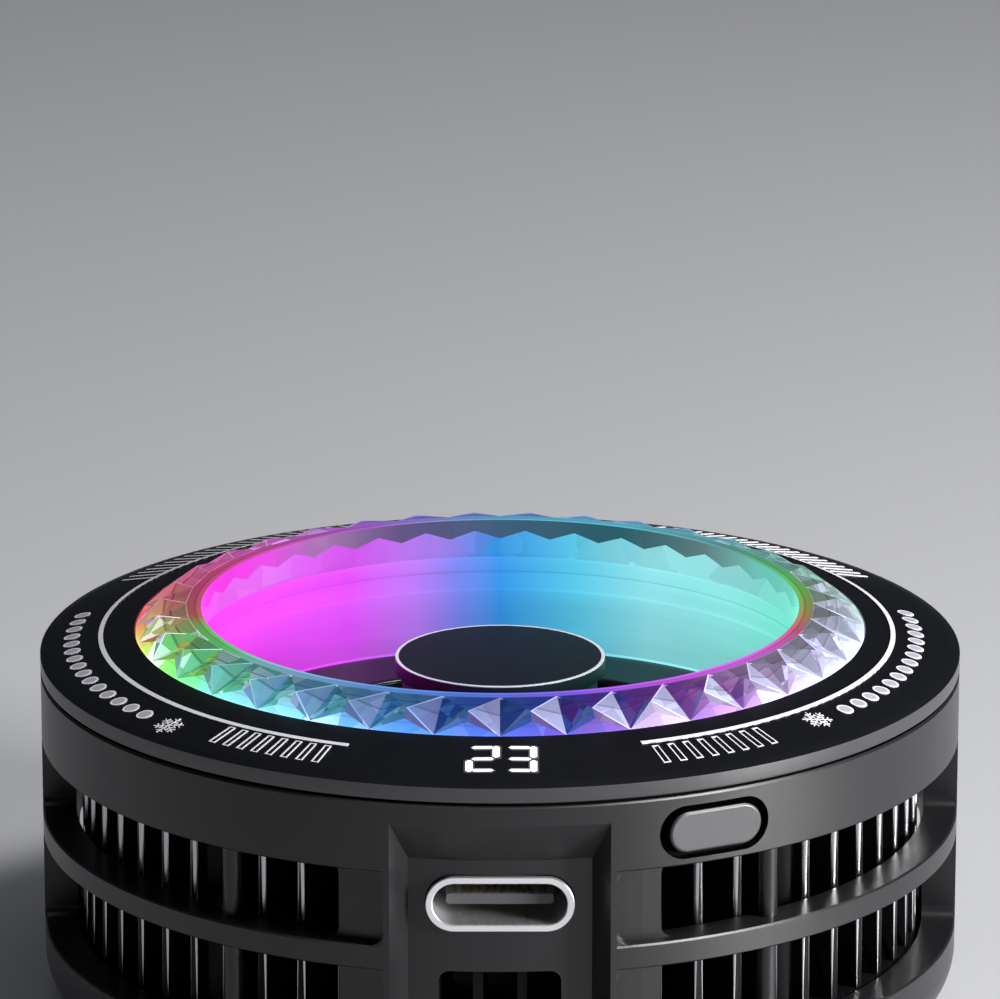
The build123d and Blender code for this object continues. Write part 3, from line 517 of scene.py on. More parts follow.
def plateTop(radius):
    # height of the sloping face over a radius
    share = (topPlate["slopeStart"] - radius) / (topPlate["slopeStart"] - topPlate["inner"])
    edge = plateLow.z + topPlate["edgeHeight"]
    return edge + share * (plateHigh.z - edge)


def makePlate():
    start, bore = topPlate["slopeStart"], topPlate["bore"]
    piece = lathe("topPlate", finishes["plate"], [
        (topPlate["outer"], plateLow.z), (start, plateTop(start)), (bore, plateHigh.z), (bore, plateLow.z),
    ], [0, topPlate["softEdge"], topPlate["boreEdge"], 0], 6, 320)
    keepPiece(piece, "plate_black", "top_plate")


trimLow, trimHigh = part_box("trim_ring")
trimRing = {"outer": trimHigh.x, "foot": 29.65 * mm, "inner": 28.5 * mm, "edge": 0.12 * mm,
            "grooveHeight": 0.2 * mm, "play": 0.01 * mm}


def makeTrim():
    outer, foot, inner, edge = (trimRing[word] for word in ("outer", "foot", "inner", "edge"))
    groove = trimLow.z + trimRing["grooveHeight"]
    piece = lathe("trimBand", finishes["trim"], [
        (outer, trimHigh.z), (inner, trimHigh.z), (inner, trimLow.z), (foot, trimLow.z), (foot, groove),
        (outer, groove),
    ], [0, 0, 0, 0, 0, edge], 4, 320)
    # faces below the groove, inside the outer face, are painted near-black as the groove's shade
    level = groove + trimRing["play"]
    paintGapShade(piece, lambda face: face.center.z < level and face.center.xy.length < outer - edge)
    keepPiece(piece, "gloss_black", "trim_ring")


makePlate()
makeTrim()
print("top plate and trim made")


# crystal ring: one tile between two facet tips, repeated round the well

crystalLow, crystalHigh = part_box("crystal_ring")
# the facets' light is painted: glow of the lamps below, a pale sheen where they reflect the studio, and
# glints
crystal = {
    "count": 36, "steps": 6, "inner": 19.5 * mm, "lip": 20.2 * mm, "lipLift": 0.45 * mm, "tip": 20.45 * mm,
    "waist": 22.33 * mm, "waistDrop": 0.275 * mm, "foot": 23.76 * mm, "footDrop": 1.46 * mm,
    "troughDrop": 1.32 * mm, "crestDrop": 0.76 * mm, "keel": 22.3 * mm, "keelRise": 0.6 * mm,
    "edge": 0.05 * mm, "paintedSheen": seen(205, 212, 250), "body": 0.06, "rough": 0.12,
    "gloss": 0.14, "glint": 0.13, "valley": 0.45, "sliver": 0.84, "tent": 0.42,
    "sparkleFrom": 0.84, "sparkleSoft": 0.02, "sparkleSheen": 0.45,
    "shardLean": (0.5, 0.35, 0.9), "shardShape": (1, 0.7, 0.5),
    "sparkle": {-180: 0.5, -130: 0.8, -45: 0.9, -18: 0.2, 26: 0.2, 44: 0.6, 110: 0.8},
}
# each kind of facet, all painted as glow with the light that it passes and reflects (the lit kind as facets
# that catch the light): its tones, how far round it fetches them and how far that drifts (degrees), its
# shards, its contrast, how much painted sheen it has and how bright it is round the ring, how its brightness
# runs from the well outwards, and how much it sparkles with painted glints
facetKinds = {
    "lit": (ringTones, 4, 6, 1100, 0.10,
        {-180: 0.25, -130: 0.25, -85: 0.15, -60: 0.15, -30: 0.3, -8: 0.45, 4: 0.8, 50: 0.85, 90: 0.8,
         115: 0.45},
        {-180: 0.5, -130: 0.62, -100: 0.66, -60: 0.6, -28: 0.42, -8: 0.38, 4: 0.6, 20: 0.74, 50: 0.76,
         70: 0.6, 92: 0.52, 112: 0.5},
        {0.21: 0.65, 0.55: 0.75, 0.57: 0.45, 0.59: 0.45, 0.61: 1.0, 1: 1.15}),
    "deep": (ringTones, -3, 9, 1100, 0.45,
        {-180: 0.1, -60: 0.05, -20: 0.0, 40: 0.05, 58: 0.8, 85: 0.8, 105: 0.35},
        {-180: 0.42, -110: 0.5, -85: 0.42, -60: 0.4, -36: 0.32, -12: 0.24, 10: 0.18, 30: 0.22, 48: 0.28,
         62: 0.36, 84: 0.5, 104: 0.5, 122: 0.42},
        {0.21: 0.5, 0.42: 0.6, 0.44: 0.35, 0.46: 0.9, 0.58: 0.75, 0.6: 0.4, 0.62: 1.2, 0.64: 0.9, 1: 1.3}),
    "side": (ringTones, -14, 12, 1200, 0.45,
        {-180: 0.2, -20: 0.25, 30: 0.3, 60: 0.7, 90: 0.7, 110: 0.4},
        {-180: 0.2, -100: 0.2, -60: 0.5, -30: 0.35, 0: 0.16, 30: 0.2, 60: 0.7, 95: 0.5, 120: 0.3}),
    "glint": (rimTones, 3, 2, 700, 0.1, 0.2,
        {-180: 0.6, -60: 0.5, 0: 0.85, 50: 0.9, 100: 0.6}),
    "low": (ringTones, 0, 4, 600, 0.15,
        {-180: 0.1, -60: 0.05, -48: 0.25, -36: 0.25, -16: 0.05, 20: 0.1, 40: 0.35, 58: 0.85, 85: 0.85,
         105: 0.35},
        {-180: 0.65, -140: 0.75, -100: 0.8, -78: 1.0, -62: 1.2, -40: 1.1, -8: 0.9, 18: 0.7, 40: 1.0, 56: 1.25,
         80: 1.2, 102: 0.6, 120: 0.45, 140: 0.8, 180: 0.6},
        {0.7: 0.75, 0.84: 0.9, 0.86: 0.72, 0.88: 1.0, 0.97: 1.15, 1: 1.5}),
    "lowLeft": (ringTones, -6, 6, 900, 0.25,
        {-180: 0.1, -50: 0.1, -10: 0.0, 30: 0.05, 58: 0.7, 85: 0.75, 105: 0.3},
        {-180: 0.3, -100: 0.28, -62: 0.5, -38: 0.5, -10: 0.28, 20: 0.24, 42: 0.4, 60: 0.9, 84: 0.9, 104: 0.4,
         130: 0.4},
        {0.6: 0.8, 0.72: 0.9, 0.74: 0.5, 0.77: 1.0, 1: 1.2}),
    "lowRight": (ringTones, 10, 8, 900, 0.3,
        {-180: 0.3, -60: 0.4, -30: 0.35, 0: 0.3, 40: 0.45, 60: 0.7, 85: 0.7, 110: 0.4},
        {-180: 0.3, -110: 0.3, -62: 0.5, -38: 0.4, -10: 0.22, 20: 0.22, 42: 0.4, 60: 0.7, 84: 0.7, 104: 0.4,
         130: 0.4},
        {0.6: 0.7, 0.8: 1.0, 1: 1.2}),
    "upper": (ringTones, -2, 5, 700, 0.22,
        {-180: 0.2, -90: 0.2, -60: 0.25, -30: 0.15, 0: 0.0, 40: 0.05, 60: 0.6, 100: 0.3},
        {-180: 0.5, -110: 0.56, -85: 0.4, -60: 0.22, -30: 0.2, -10: 0.19, 20: 0.17, 45: 0.16, 62: 0.12,
         85: 0.12, 100: 0.2, 140: 0.45},
        {0.2: 1.4, 0.235: 1.4, 0.245: 0.5, 0.27: 0.8, 0.45: 0.85, 0.46: 0.3, 0.48: 0.3, 0.49: 1.0, 0.6: 1.1}),
    "rim": (rimTones, 0, 1, 300, 0.04, 0.1,
        {-180: 0.6, -100: 0.55, -60: 0.6, 0: 0.85, 50: 0.85, 90: 0.5},
        {0: 1.1, 0.06: 1.1, 0.09: 0.55, 0.13: 0.8, 0.21: 0.7}, 0.0),
    "greyWall": (greyTones, 0, 0.5, 500, 0.05, 0, 0.95, 1, 0.0),
    "glowWall": (wallTones, 0, 2, 420, 0.08,
        {-180: 0.0, -150: 0.05, -128: 0.16, -95: 0.1, 95: 0.12, 125: 0.15, 150: 0.03},
        {-180: 0.8, -100: 0.8, 100: 0.8, 160: 0.88}, 1, 0.10),
    "under": (ringTones, 0, 8, 800, 0.3, 0.1, 0.25,
        {0: 0.6, 1: 1}),
    # edge: the thin strips round the lit facets, painted as bright highlight lines
    "edge": (ringTones, 0, 2, 600, 0.3,
        {-180: 0.45, -100: 0.4, -60: 0.4, -25: 0.5, 5: 0.75, 60: 0.95, 110: 0.6, 180: 0.5},
        {-180: 0.6, -120: 0.65, -70: 0.8, -20: 0.7, 4: 1.1, 60: 1.4, 90: 1.1, 130: 0.6},
        {0.21: 0.9, 1: 1.1}),
}


def crystalTile():
    pitch = 360 / crystal["count"]
    steps = crystal["steps"]
    top = crystalHigh.z
    bottom = crystalLow.z
    turns = [pitch * k / steps for k in range(steps + 1)]
    verts = []
    faces = []
    kinds = []

    def face(kind, *corners):
        faces.append(tuple(range(len(verts), len(verts) + len(corners))))
        verts.extend(corners)
        kinds.append(list(facetKinds).index(kind))

    def chord(radius, turn):
        # the straight line between the two ends of an arc
        return radius * math.cos(math.radians(pitch / 2)) / math.cos(math.radians(turn - pitch / 2))

    def arc(radius, height):
        return [polar(radius, turn, height) for turn in turns]

    def strip(kind, low, high):
        for k in range(steps):
            face(kind, low[k], low[k + 1], high[k + 1], high[k])

    tip = [polar(crystal["tip"], turn, top) for turn in (0, pitch)]
    waist = polar(crystal["waist"], pitch / 2, top - crystal["waistDrop"])
    footLevel = top - crystal["footDrop"]
    inRadius = chord(crystal["foot"], pitch / 2)
    fall = (top - crystal["waistDrop"] - footLevel) / (inRadius - crystal["waist"])
    foot = [polar(crystal["foot"], turn, footLevel - fall * (crystal["foot"] - chord(crystal["foot"], turn)))
            for turn in turns]
    ridge = tip[0].lerp(waist, crystal["glint"])
    valley = tip[0].lerp(foot[0], crystal["glint"] * crystal["valley"])
    split = tip[0].lerp(waist, crystal["sliver"])
    tent = waist.lerp(foot[steps // 2], crystal["tent"])
    face("upper", tip[0], ridge, split, waist, tip[1])
    face("glint", tip[0], valley, ridge)
    face("deep", ridge, valley, foot[0], split)
    face("side", split, foot[0], waist)
    face("lit", tip[1], waist, foot[-1])
    face("lowLeft", foot[0], tent, waist)
    face("lowRight", foot[-1], waist, tent)
    for k in range(steps):
        face("low", foot[k], foot[k + 1], tent)
    # flat rim and the wall of the well, split by the zigzag line that the facets throw on it; both are
    # painted with the glow that the crystal passes
    inner, lip, lipLevel = crystal["inner"], crystal["lip"], bottom + crystal["lipLift"]
    rim = arc(inner, top)
    strip("rim", [polar(chord(crystal["tip"], turn), turn, top) for turn in turns], rim)
    zigzag = []
    for turn in turns:
        share = 1 - abs(2 * turn / pitch - 1)
        drop = crystal["troughDrop"] + share * (crystal["crestDrop"] - crystal["troughDrop"])
        zigzag.append(polar(inner, turn, top - drop))
    lipLow, lipIn = arc(inner, lipLevel), arc(lip, lipLevel)
    wallFoot, outerFoot = arc(lip, bottom), arc(crystal["foot"], bottom)
    keel = polar(crystal["keel"], pitch / 2, bottom + crystal["keelRise"])
    strip("greyWall", rim, zigzag)
    strip("glowWall", zigzag, lipLow)
    strip("under", lipLow, lipIn)
    strip("glowWall", lipIn, wallFoot)
    strip("low", outerFoot, foot)
    # the underside is faceted too, so that it breaks up the light below
    for k in range(steps):
        face("under", wallFoot[k], wallFoot[k + 1], keel)
        face("under", outerFoot[k + 1], outerFoot[k], keel)
    face("under", wallFoot[0], keel, outerFoot[0])
    face("under", wallFoot[-1], outerFoot[-1], keel)
    tile = addMesh("crystalFacets", verts, faces)
    marked = tile.data.attributes.new("facetKind", "INT", "FACE")
    marked.data.foreach_set("value", kinds)
    return tile


def crystalPaint(name, tones, shift, drift, shards, contrast, paintedSheen, power, across=1, sparkle=1):
    # a clear facet painted as it looks over the lamps: glowing tones by azimuth, broken into shards, with a
    # pale painted sheen and painted glints where it sparkles
    material, tree = startMaterial(name)
    lean = addNode(tree, "ShaderNodeMapping", {
        "Vector": placeIn(tree), "Rotation": crystal["shardLean"],
        "Scale": tuple(shards * share for share in crystal["shardShape"])})
    cells = addNode(tree, "ShaderNodeVectorMath", {0: lean.outputs[0]}, operation="FLOOR")
    noise = addNode(tree, "ShaderNodeTexWhiteNoise", {"Vector": cells.outputs["Vector"]})
    chance = addNode(tree, "ShaderNodeSeparateColor", {0: noise.outputs["Color"]}).outputs
    share = ringPlace(tree)[0]
    start, end = ((shift + side * drift) / 360 for side in (-1, 1))
    fetched = calc(tree, "ADD", share, rangeOf(tree, chance[0], start, end, 0, 1))
    flat = addNode(tree, "ShaderNodeMapping", {"Vector": placeIn(tree), "Scale": (1, 1, 0)})
    away = addNode(tree, "ShaderNodeVectorMath", {0: flat.outputs[0]}, operation="LENGTH").outputs["Value"]
    outwards = rangeOf(tree, away, 0, 1, crystal["inner"], crystal["foot"])

    def level(stops):
        return colourOf(tree, share, roundTheRing(levels(stops)))

    # painted glints: a few shards flare brighter and paler
    sparkleFrom = crystal["sparkleFrom"]
    glitter = rangeOf(tree, chance[2], 0, 1, sparkleFrom, sparkleFrom + crystal["sparkleSoft"])
    glitter = calc(tree, "MULTIPLY", calc(tree, "MULTIPLY", glitter, level(crystal["sparkle"])), sparkle)
    spread = rangeOf(tree, chance[1], 1 - contrast, 1 + contrast, 0, 1)
    spread = calc(tree, "MULTIPLY", spread, calc(tree, "ADD", glitter, 1))
    bright = calc(tree, "MULTIPLY", level(power), colourOf(tree, outwards, levels(across)))
    paler = calc(tree, "ADD", level(paintedSheen), calc(tree, "MULTIPLY", glitter, crystal["sparkleSheen"]))
    light = mixOf(tree, paler, colourOf(tree, fetched, roundTheRing(tones)), (*crystal["paintedSheen"], 1))
    shade(tree, {
        "Base Color": mixOf(tree, crystal["body"], (0.004, 0.004, 0.006, 1), light), "Emission Color": light,
        "Emission Strength": calc(tree, "MULTIPLY", bright, spread),
        "Roughness": rangeOf(tree, noiseAt(tree, 500), crystal["rough"], crystal["rough"] * 2),
        "Specular IOR Level": crystal["gloss"]})
    return material


def makeCrystal():
    piece = crystalTile()
    paints = [crystalPaint("crystal" + kind.capitalize(), *look) for kind, look in facetKinds.items()]
    repeatRound(piece, paints[0], crystal["count"], 0, 360 / crystal["count"], welds["facets"])
    lit = list(facetKinds).index("lit")

    # edges round the lit facets become thin bevel strips, painted as bright highlight lines
    def markBorders(shape):
        kindLayer = shape.faces.layers.int["facetKind"]
        borderLayer = shape.edges.layers.float.new("bevel_weight_edge")
        for border in shape.edges:
            touching = {near[kindLayer] for near in border.link_faces}
            if lit in touching and len(touching) > 1:
                border[borderLayer] = 1.0

    reshape(piece, markBorders)
    mesh = piece.data
    mesh.materials.clear()
    for paint in paints:
        mesh.materials.append(paint)
    kinds = [0] * len(mesh.polygons)
    mesh.attributes["facetKind"].data.foreach_get("value", kinds)
    mesh.polygons.foreach_set("material_index", kinds)
    glint = piece.modifiers.new("glint", "BEVEL")
    glint.width = crystal["edge"]
    glint.segments = 1
    glint.limit_method = "WEIGHT"
    glint.material = len(paints) - 1
    settle(piece)
    piece.data.shade_flat()
    keepPiece(piece, "clear_crystal", "crystal_ring")


makeCrystal()


# lights of the ring: the milky film over the lamps and the milky wall of the well

filmLow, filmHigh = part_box("diffuser_film")
film = {"inner": 21.5 * mm, "strength": 1.0}
guideLow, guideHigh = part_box("light_guide")
guide = {
    "outer": guideHigh.x, "topInner": 20.25 * mm, "stepDown": 1.1 * mm, "stepRadius": 20.55 * mm,
    "bandHeight": 1.3 * mm, "bandRadius": 20.52 * mm, "footRadius": 20.35 * mm, "stepEdge": 0.02 * mm,
    "edge": 0.06 * mm, "strength": 0.95,
}


def glowMaterial(name, tones, strength, low, high, stops, spread, streakScale, stretch=(1, 1, 1)):
    # stops hold the brightness at shares of the height, from the bottom of the piece to its top
    material, tree = startMaterial(name)
    share, height = ringPlace(tree)
    light = colourOf(tree, share, roundTheRing(tones))
    bright = colourOf(tree, rangeOf(tree, height, 0, 1, low, high), levels(stops))
    lively = rangeOf(tree, noiseAt(tree, streakScale, 3, stretch), 1 - spread, 1 + spread)
    shade(tree, {
        "Base Color": mixOf(tree, 0.85, light, (0.01, 0.01, 0.012, 1)), "Emission Color": light,
        "Emission Strength": calc(tree, "MULTIPLY", calc(tree, "MULTIPLY", bright, lively), strength),
        "Roughness": rangeOf(tree, noiseAt(tree, 300), 0.25, 0.4), "Specular IOR Level": 0.25})
    return material


def makeFilm():
    low, high = filmLow.z, filmHigh.z
    glow = glowMaterial("filmGlow", ringTones, film["strength"], low, high, {0: 0.6, 1: 1}, 0.4, 420)
    piece = band("glowFilm", glow, low, high, filmHigh.x, film["inner"], [0] * 4, sharpAngle=40)
    keepPiece(piece, "light_diffuser", "diffuser_film")


def makeWall():
    top = guideHigh.z
    upper = top - guide["stepDown"]
    glow = glowMaterial("wallGlow", wallTones, guide["strength"], guideLow.z, top, {
        0: 1.1, 0.02: 1.1, 0.03: 0.7, 0.3: 0.78, 0.55: 0.88, 0.62: 0.92, 0.64: 1.08, 0.66: 0.98, 0.8: 1.0,
        0.83: 0.98, 0.845: 0.74, 0.86: 0.98, 0.97: 1.0, 1: 1.1,
    }, 0.10, 60, (1, 1, 14))
    piece = lathe("wellWall", glow, [
        (guide["outer"], guideLow.z), (guide["outer"], top), (guide["topInner"], top),
        (guide["topInner"], upper), (guide["stepRadius"], upper),
        (guide["bandRadius"], upper - guide["bandHeight"]), (guide["footRadius"], guideLow.z),
    ], [0, 0, 0, guide["stepEdge"], guide["stepEdge"], guide["edge"], 0], 3, 256, 40)
    keepPiece(piece, "light_diffuser", "light_guide")


makeFilm()
makeWall()
print("crystal ring and its lights made")


# floor of the well: smoked ring with the round air eye

inletLow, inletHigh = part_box("inlet_ring")
inlet = {"eye": 15.3 * mm, "eyeRound": 0.4 * mm, "edge": 0.05 * mm,
         "dark": (0.006, 0.0065, 0.007), "light": (0.009, 0.0095, 0.011), "gloss": 0.1, "clear": 0.12}


def smokedMaterial():
    material, tree = startMaterial("smokedClear")
    tones = [(0.2, inlet["dark"]), (0.8, inlet["light"])]
    shade(tree, {
        "Base Color": colourOf(tree, noiseAt(tree, 120), tones),
        "Roughness": rangeOf(tree, noiseAt(tree, 300), 0.16, 0.24),
        "Specular IOR Level": inlet["gloss"], "Transmission Weight": inlet["clear"], "IOR": 1.49})
    return material


def makeInlet():
    piece = band("smokedFloor", smokedMaterial(), inletLow.z, inletHigh.z, inletHigh.x, inlet["eye"],
                 [0, 0, inlet["eyeRound"], inlet["edge"]], 5, 256)
    keepPiece(piece, "smoked_plastic", "inlet_ring")


capLow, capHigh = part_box("hub_cap")
cap = {"radius": capHigh.x, "spigot": 5.3 * mm, "spigotDepth": 0.5 * mm, "edge": 0.05 * mm, "line": 0.22 * mm,
       "lineSet": 0.02 * mm, "lineSink": 0.06 * mm, "footEdge": 0.08 * mm}


def makeCap():
    low = capLow.z + cap["spigotDepth"]
    top = capHigh.z
    groove = top - cap["lineSink"]
    rim = cap["radius"] - cap["lineSet"]
    inside = rim - cap["line"]
    piece = lathe("hubDisc", finishes["cap"], [
        (0, top), (0, capLow.z), (cap["spigot"], capLow.z), (cap["spigot"], low),
        (cap["radius"], low), (cap["radius"], groove), (inside, groove), (inside, top),
    ], [0, 0, 0, 0, cap["footEdge"], 0, 0, 0], 5)
    keepPiece(piece, "gloss_black", "hub_cap", body="rotor")
    # a pale ring let into the disc's edge, painted as the highlight along that edge
    piece = lathe("hubRimHighlight", finishes["capRimHighlight"], [
        (rim, groove), (rim, top), (inside, top), (inside, groove)], [0, cap["edge"], 0, 0])
    keepPiece(piece, "gloss_black", body="rotor")


makeInlet()
makeCap()
print("well floor and hub made")


# cold plate and the soft ring that meet the phone

coldLow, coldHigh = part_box("cold_plate")
padLow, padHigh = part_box("soft_pad")
underside = {"plateRadius": 17.0 * mm, "flangeRadius": 18.4 * mm, "flangeThickness": 0.6 * mm,
             "padInner": 19.1 * mm, "edge": 0.15 * mm, "fineEdge": 0.05 * mm, "turnedPitch": 0.25 * mm}


def turnedMetal():
    # faint circles left by the facing tool
    material, tree = startMaterial("turnedMetal")
    rings = addNode(tree, "ShaderNodeTexWave", {
        "Vector": placeIn(tree), "Scale": 0.31 / underside["turnedPitch"], "Distortion": 0.3, "Detail": 1,
    }, wave_type="RINGS", rings_direction="Z").outputs["Fac"]
    shade(tree, {
        "Base Color": colourOf(tree, rings, [(0, (0.58, 0.59, 0.61)), (1, (0.68, 0.69, 0.71))]),
        "Roughness": rangeOf(tree, rings, 0.2, 0.32, 0, 1),
        "Normal": bumpOf(tree, rings, 0.25), "Metallic": 1})
    return material


def makeUnderside():
    flange = coldHigh.z - underside["flangeThickness"]
    plate, wide = underside["plateRadius"], underside["flangeRadius"]
    edge, fine = underside["edge"], underside["fineEdge"]
    piece = lathe("coldDisc", turnedMetal(), [
        (0, coldHigh.z), (0, coldLow.z), (plate, coldLow.z), (plate, flange), (wide, flange),
        (wide, coldHigh.z),
    ], [0, 0, edge, 0, fine, fine])
    keepPiece(piece, "cold_metal", "cold_plate")
    piece = band("softRing", finishes["rubber"], padLow.z, padHigh.z, padHigh.x, underside["padInner"],
                 [edge, fine, fine, edge])
    keepPiece(piece, "soft_rubber", "soft_pad")


makeUnderside()


# printed marks on the plate: thin slabs that follow its slope

marks = {
    "thickness": 0.02 * mm, "sink": 0.02 * mm, "turn": -0.15, "lineWidth": 0.31 * mm, "lineEnd": 150.0,
    "lineStep": 1.0, "dots": 15, "dotSize": 1.1 * mm, "dotRim": 0.14 * mm, "fillLift": 0.004 * mm,
    "bars": 8, "barLong": 2.05 * mm, "barWide": 0.46 * mm, "barStroke": 0.08 * mm,
    "ticks": 21, "tickLong": 2.45 * mm, "tickWide": 0.22 * mm,
    "flakeSize": 1.0 * mm, "flakeStroke": 0.08 * mm, "twigLean": 58, "twigEnd": 0.96, "twigFoot": 1.6,
    "twigs": ((0.36, 0.34), (0.66, 0.272)),     # start and length as shares of the arm
}
# the print sits a little off the middle, so each half has its own places
halves = {
    "Right": {"side": 1, "lineRadius": 25.64 * mm, "lineStart": 20.1, "dotFirst": 53.4, "dotStep": 3.32,
              "dotRadius": 27.15 * mm, "barFirst": 21.65, "barStep": 2.26, "barInner": 26.15 * mm,
              "tickFirst": 119.7, "tickStep": 1.84, "tickInner": 25.95 * mm, "flakeAzimuth": 47.4,
              "flakeRadius": 27.1 * mm},
    "Left": {"side": -1, "lineRadius": 26.05 * mm, "lineStart": 21.0, "dotFirst": 53.0, "dotStep": 3.32,
             "dotRadius": 27.95 * mm, "barFirst": 23.6, "barStep": 2.2, "barInner": 26.4 * mm,
             "tickFirst": 117.4, "tickStep": 1.98, "tickInner": 26.2 * mm, "flakeAzimuth": 47.5,
             "flakeRadius": 28.1 * mm},
}


def printMaterial(name, tone):
    material, tree = startMaterial(name)
    worn = tuple(value * 0.9 for value in tone)
    shade(tree, {
        "Base Color": colourOf(tree, noiseAt(tree, 900, 3), [(0.2, worn), (0.8, tone)]),
        "Roughness": rangeOf(tree, noiseAt(tree, 1500), 0.4, 0.6)})
    return material


printedWhite = printMaterial("printedWhite", (0.52, 0.52, 0.57))
printedGrey = printMaterial("printedGrey", (0.27, 0.27, 0.31))


def slabOnPlate(name, strips, material, lift=0):
    # strips are lists of outlines of (radius, azimuth); each becomes a closed slab that hugs the slope
    verts = []
    faces = []
    for outline in strips:
        faces += slabFaces(len(outline), len(verts))
        for rise in (marks["thickness"] + lift, -marks["sink"]):
            verts.extend(polar(radius, azimuth, plateTop(radius) + rise) for radius, azimuth in outline)
    return reshape(addMesh(name, verts, faces, material))


def across(distance, radius):
    return math.degrees(distance / radius)


def makeLine(word, place):
    # the circle line, as a ribbon of short quads
    low, high = (place["lineRadius"] + side * marks["lineWidth"] / 2 for side in (-1, 1))
    quad = [(low, 0), (high, 0), (high, marks["lineStep"]), (low, marks["lineStep"])]
    verts = [polar(radius, turn, plateTop(radius) + lift)
             for lift in (marks["thickness"], -marks["sink"]) for radius, turn in quad]
    piece = addMesh("circleLine" + word, verts, [(0, 1, 2, 3), (7, 6, 5, 4), (1, 0, 4, 5), (3, 2, 6, 7)])
    first = place["lineStart"] if place["side"] > 0 else -marks["lineEnd"]
    count = int((marks["lineEnd"] - place["lineStart"]) / marks["lineStep"])
    repeatRound(piece, printedWhite, count, first + marks["turn"], marks["lineStep"], welds["ribbon"])
    reshape(piece, lambda shape: bmesh.ops.holes_fill(shape, edges=shape.edges, sides=8))
    keepPiece(piece, "plate_black")


def makeRow(name, place, kind, strips, ink=printedWhite, lift=0):
    # one mark, repeated along its half of the plate
    piece = slabOnPlate(name, strips, ink, lift)
    repeatRound(piece, ink, marks[kind + "s"], place["side"] * place[kind + "First"] + marks["turn"],
                place["side"] * place[kind + "Step"])
    keepPiece(piece, "plate_black")


def makeMarks():
    for word, place in halves.items():
        makeLine(word, place)

        middle = place["dotRadius"]
        for name, inset, ink, lift in (("dotRow", 0, printedWhite, 0),
                                       ("dotFill", marks["dotRim"], printedGrey, marks["fillLift"])):
            size = marks["dotSize"] / 2 - inset
            turns = [2 * math.pi * step / 24 for step in range(24)]
            oval = [(middle + size * math.cos(turn), across(size * math.sin(turn), middle)) for turn in turns]
            makeRow(name + word, place, "dot", [oval], ink, lift)

        low, high = place["barInner"], place["barInner"] + marks["barLong"]
        stroke = marks["barStroke"]
        wide = across(marks["barWide"] / 2, low)
        thin = across(marks["barWide"] / 2 - stroke, low)
        makeRow("hollowBars" + word, place, "bar", [
            [(low, -wide), (low, wide), (low + stroke, thin), (low + stroke, -thin)],
            [(high, wide), (high, -wide), (high - stroke, -thin), (high - stroke, thin)],
            [(low, wide), (high, wide), (high - stroke, thin), (low + stroke, thin)],
            [(high, -wide), (low, -wide), (low + stroke, -thin), (high - stroke, -thin)],
        ])

        low, high = place["tickInner"], place["tickInner"] + marks["tickLong"]
        wide = across(marks["tickWide"] / 2, low)
        makeRow("tickRow" + word, place, "tick", [[(low, -wide), (high, -wide), (high, wide), (low, wide)]])
        azimuth = place["side"] * place["flakeAzimuth"] + marks["turn"]
        makeFlake("snowFlake" + word, azimuth, place["flakeRadius"])


def makeFlake(name, azimuth, middle):
    # one arm with two pairs of twigs, repeated six times and then laid on the slope
    size = marks["flakeSize"]
    half = marks["flakeStroke"] / 2
    lean = math.radians(marks["twigLean"])
    side = [(half, half / math.tan(math.radians(30)))]
    for share, reach in marks["twigs"]:
        start = share * size
        tipX, tipY = half + reach * size * math.sin(lean), start + reach * size * math.cos(lean)
        nx, ny = (turned(lean) * half * marks["twigEnd"] for turned in (math.cos, math.sin))
        side += [(half, start - half), (tipX + nx, tipY - ny), (tipX - nx, tipY + ny),
                 (half, start + half * marks["twigFoot"])]
    side.append((half, size))
    outline = [(0, 0)] + side + [(-x, y) for x, y in reversed(side)]
    verts = [(x, -y, level) for level in (marks["thickness"], -marks["sink"]) for x, y in outline]
    piece = addMesh(name, verts, slabFaces(len(outline)))
    repeatRound(piece, printedWhite, 6, 0, 60)
    for vertex in piece.data.vertices:
        radius = middle - vertex.co.y
        vertex.co = polar(radius, azimuth + across(vertex.co.x, middle), plateTop(radius) + vertex.co.z)
    reshape(piece)
    keepPiece(piece, "plate_black")


makeMarks()
print("printed marks made")


# lit digits under the front of the plate

digits = {
    "left": -1.07 * mm, "right": 1.24 * mm, "wide": 2.12 * mm, "near": 25.16 * mm, "far": 28.15 * mm,
    "stroke": 0.45 * mm, "bar": 0.32 * mm, "gap": 0.15 * mm, "corner": 0.15 * mm, "overlap": 0.165 * mm,
    "strength": 1.5,
    "halo": 0.11 * mm, "haloGlow": 0.06, "haloSink": 0.008 * mm, "flicker": 0.1,
    "shown": ((0, 1, 3, 4, 6), (0, 1, 3, 5, 6)),     # bars lit for a 2 and a 3
}


def digitMaterial(name, strength):
    material, tree = startMaterial(name)
    haze = noiseAt(tree, 1200)
    shade(tree, {
        "Base Color": (0.01, 0.01, 0.012, 1),
        "Emission Color": colourOf(tree, haze, [(0.2, (0.82, 0.86, 1.0)), (0.8, (1.0, 1.0, 1.0))]),
        "Emission Strength": rangeOf(
            tree, haze, strength * (1 - digits["flicker"]), strength * (1 + digits["flicker"])),
        "Roughness": rangeOf(tree, haze, 0.3, 0.4)})
    return material


def segmentOutline(centre, length, upright, extra):
    # a bar about its own middle, as (x, distance towards the front): pointed if it lies, stout if it stands
    half = (digits["stroke"] if upright else digits["bar"]) / 2 + extra
    slant = digits["corner"] if upright else half
    run = length / 2 + extra
    points = [(-run, half - slant), (-run + slant, half), (run - slant, half), (run, half - slant),
              (run, slant - half), (run - slant, -half), (-run + slant, -half), (-run, slant - half)]
    if upright:
        points = [(y, x) for x, y in points]
    else:
        points = [points[k] for k in (0, 1, 2, 3, 5, 6)]
    return [(centre[0] + x, centre[1] + y) for x, y in points]


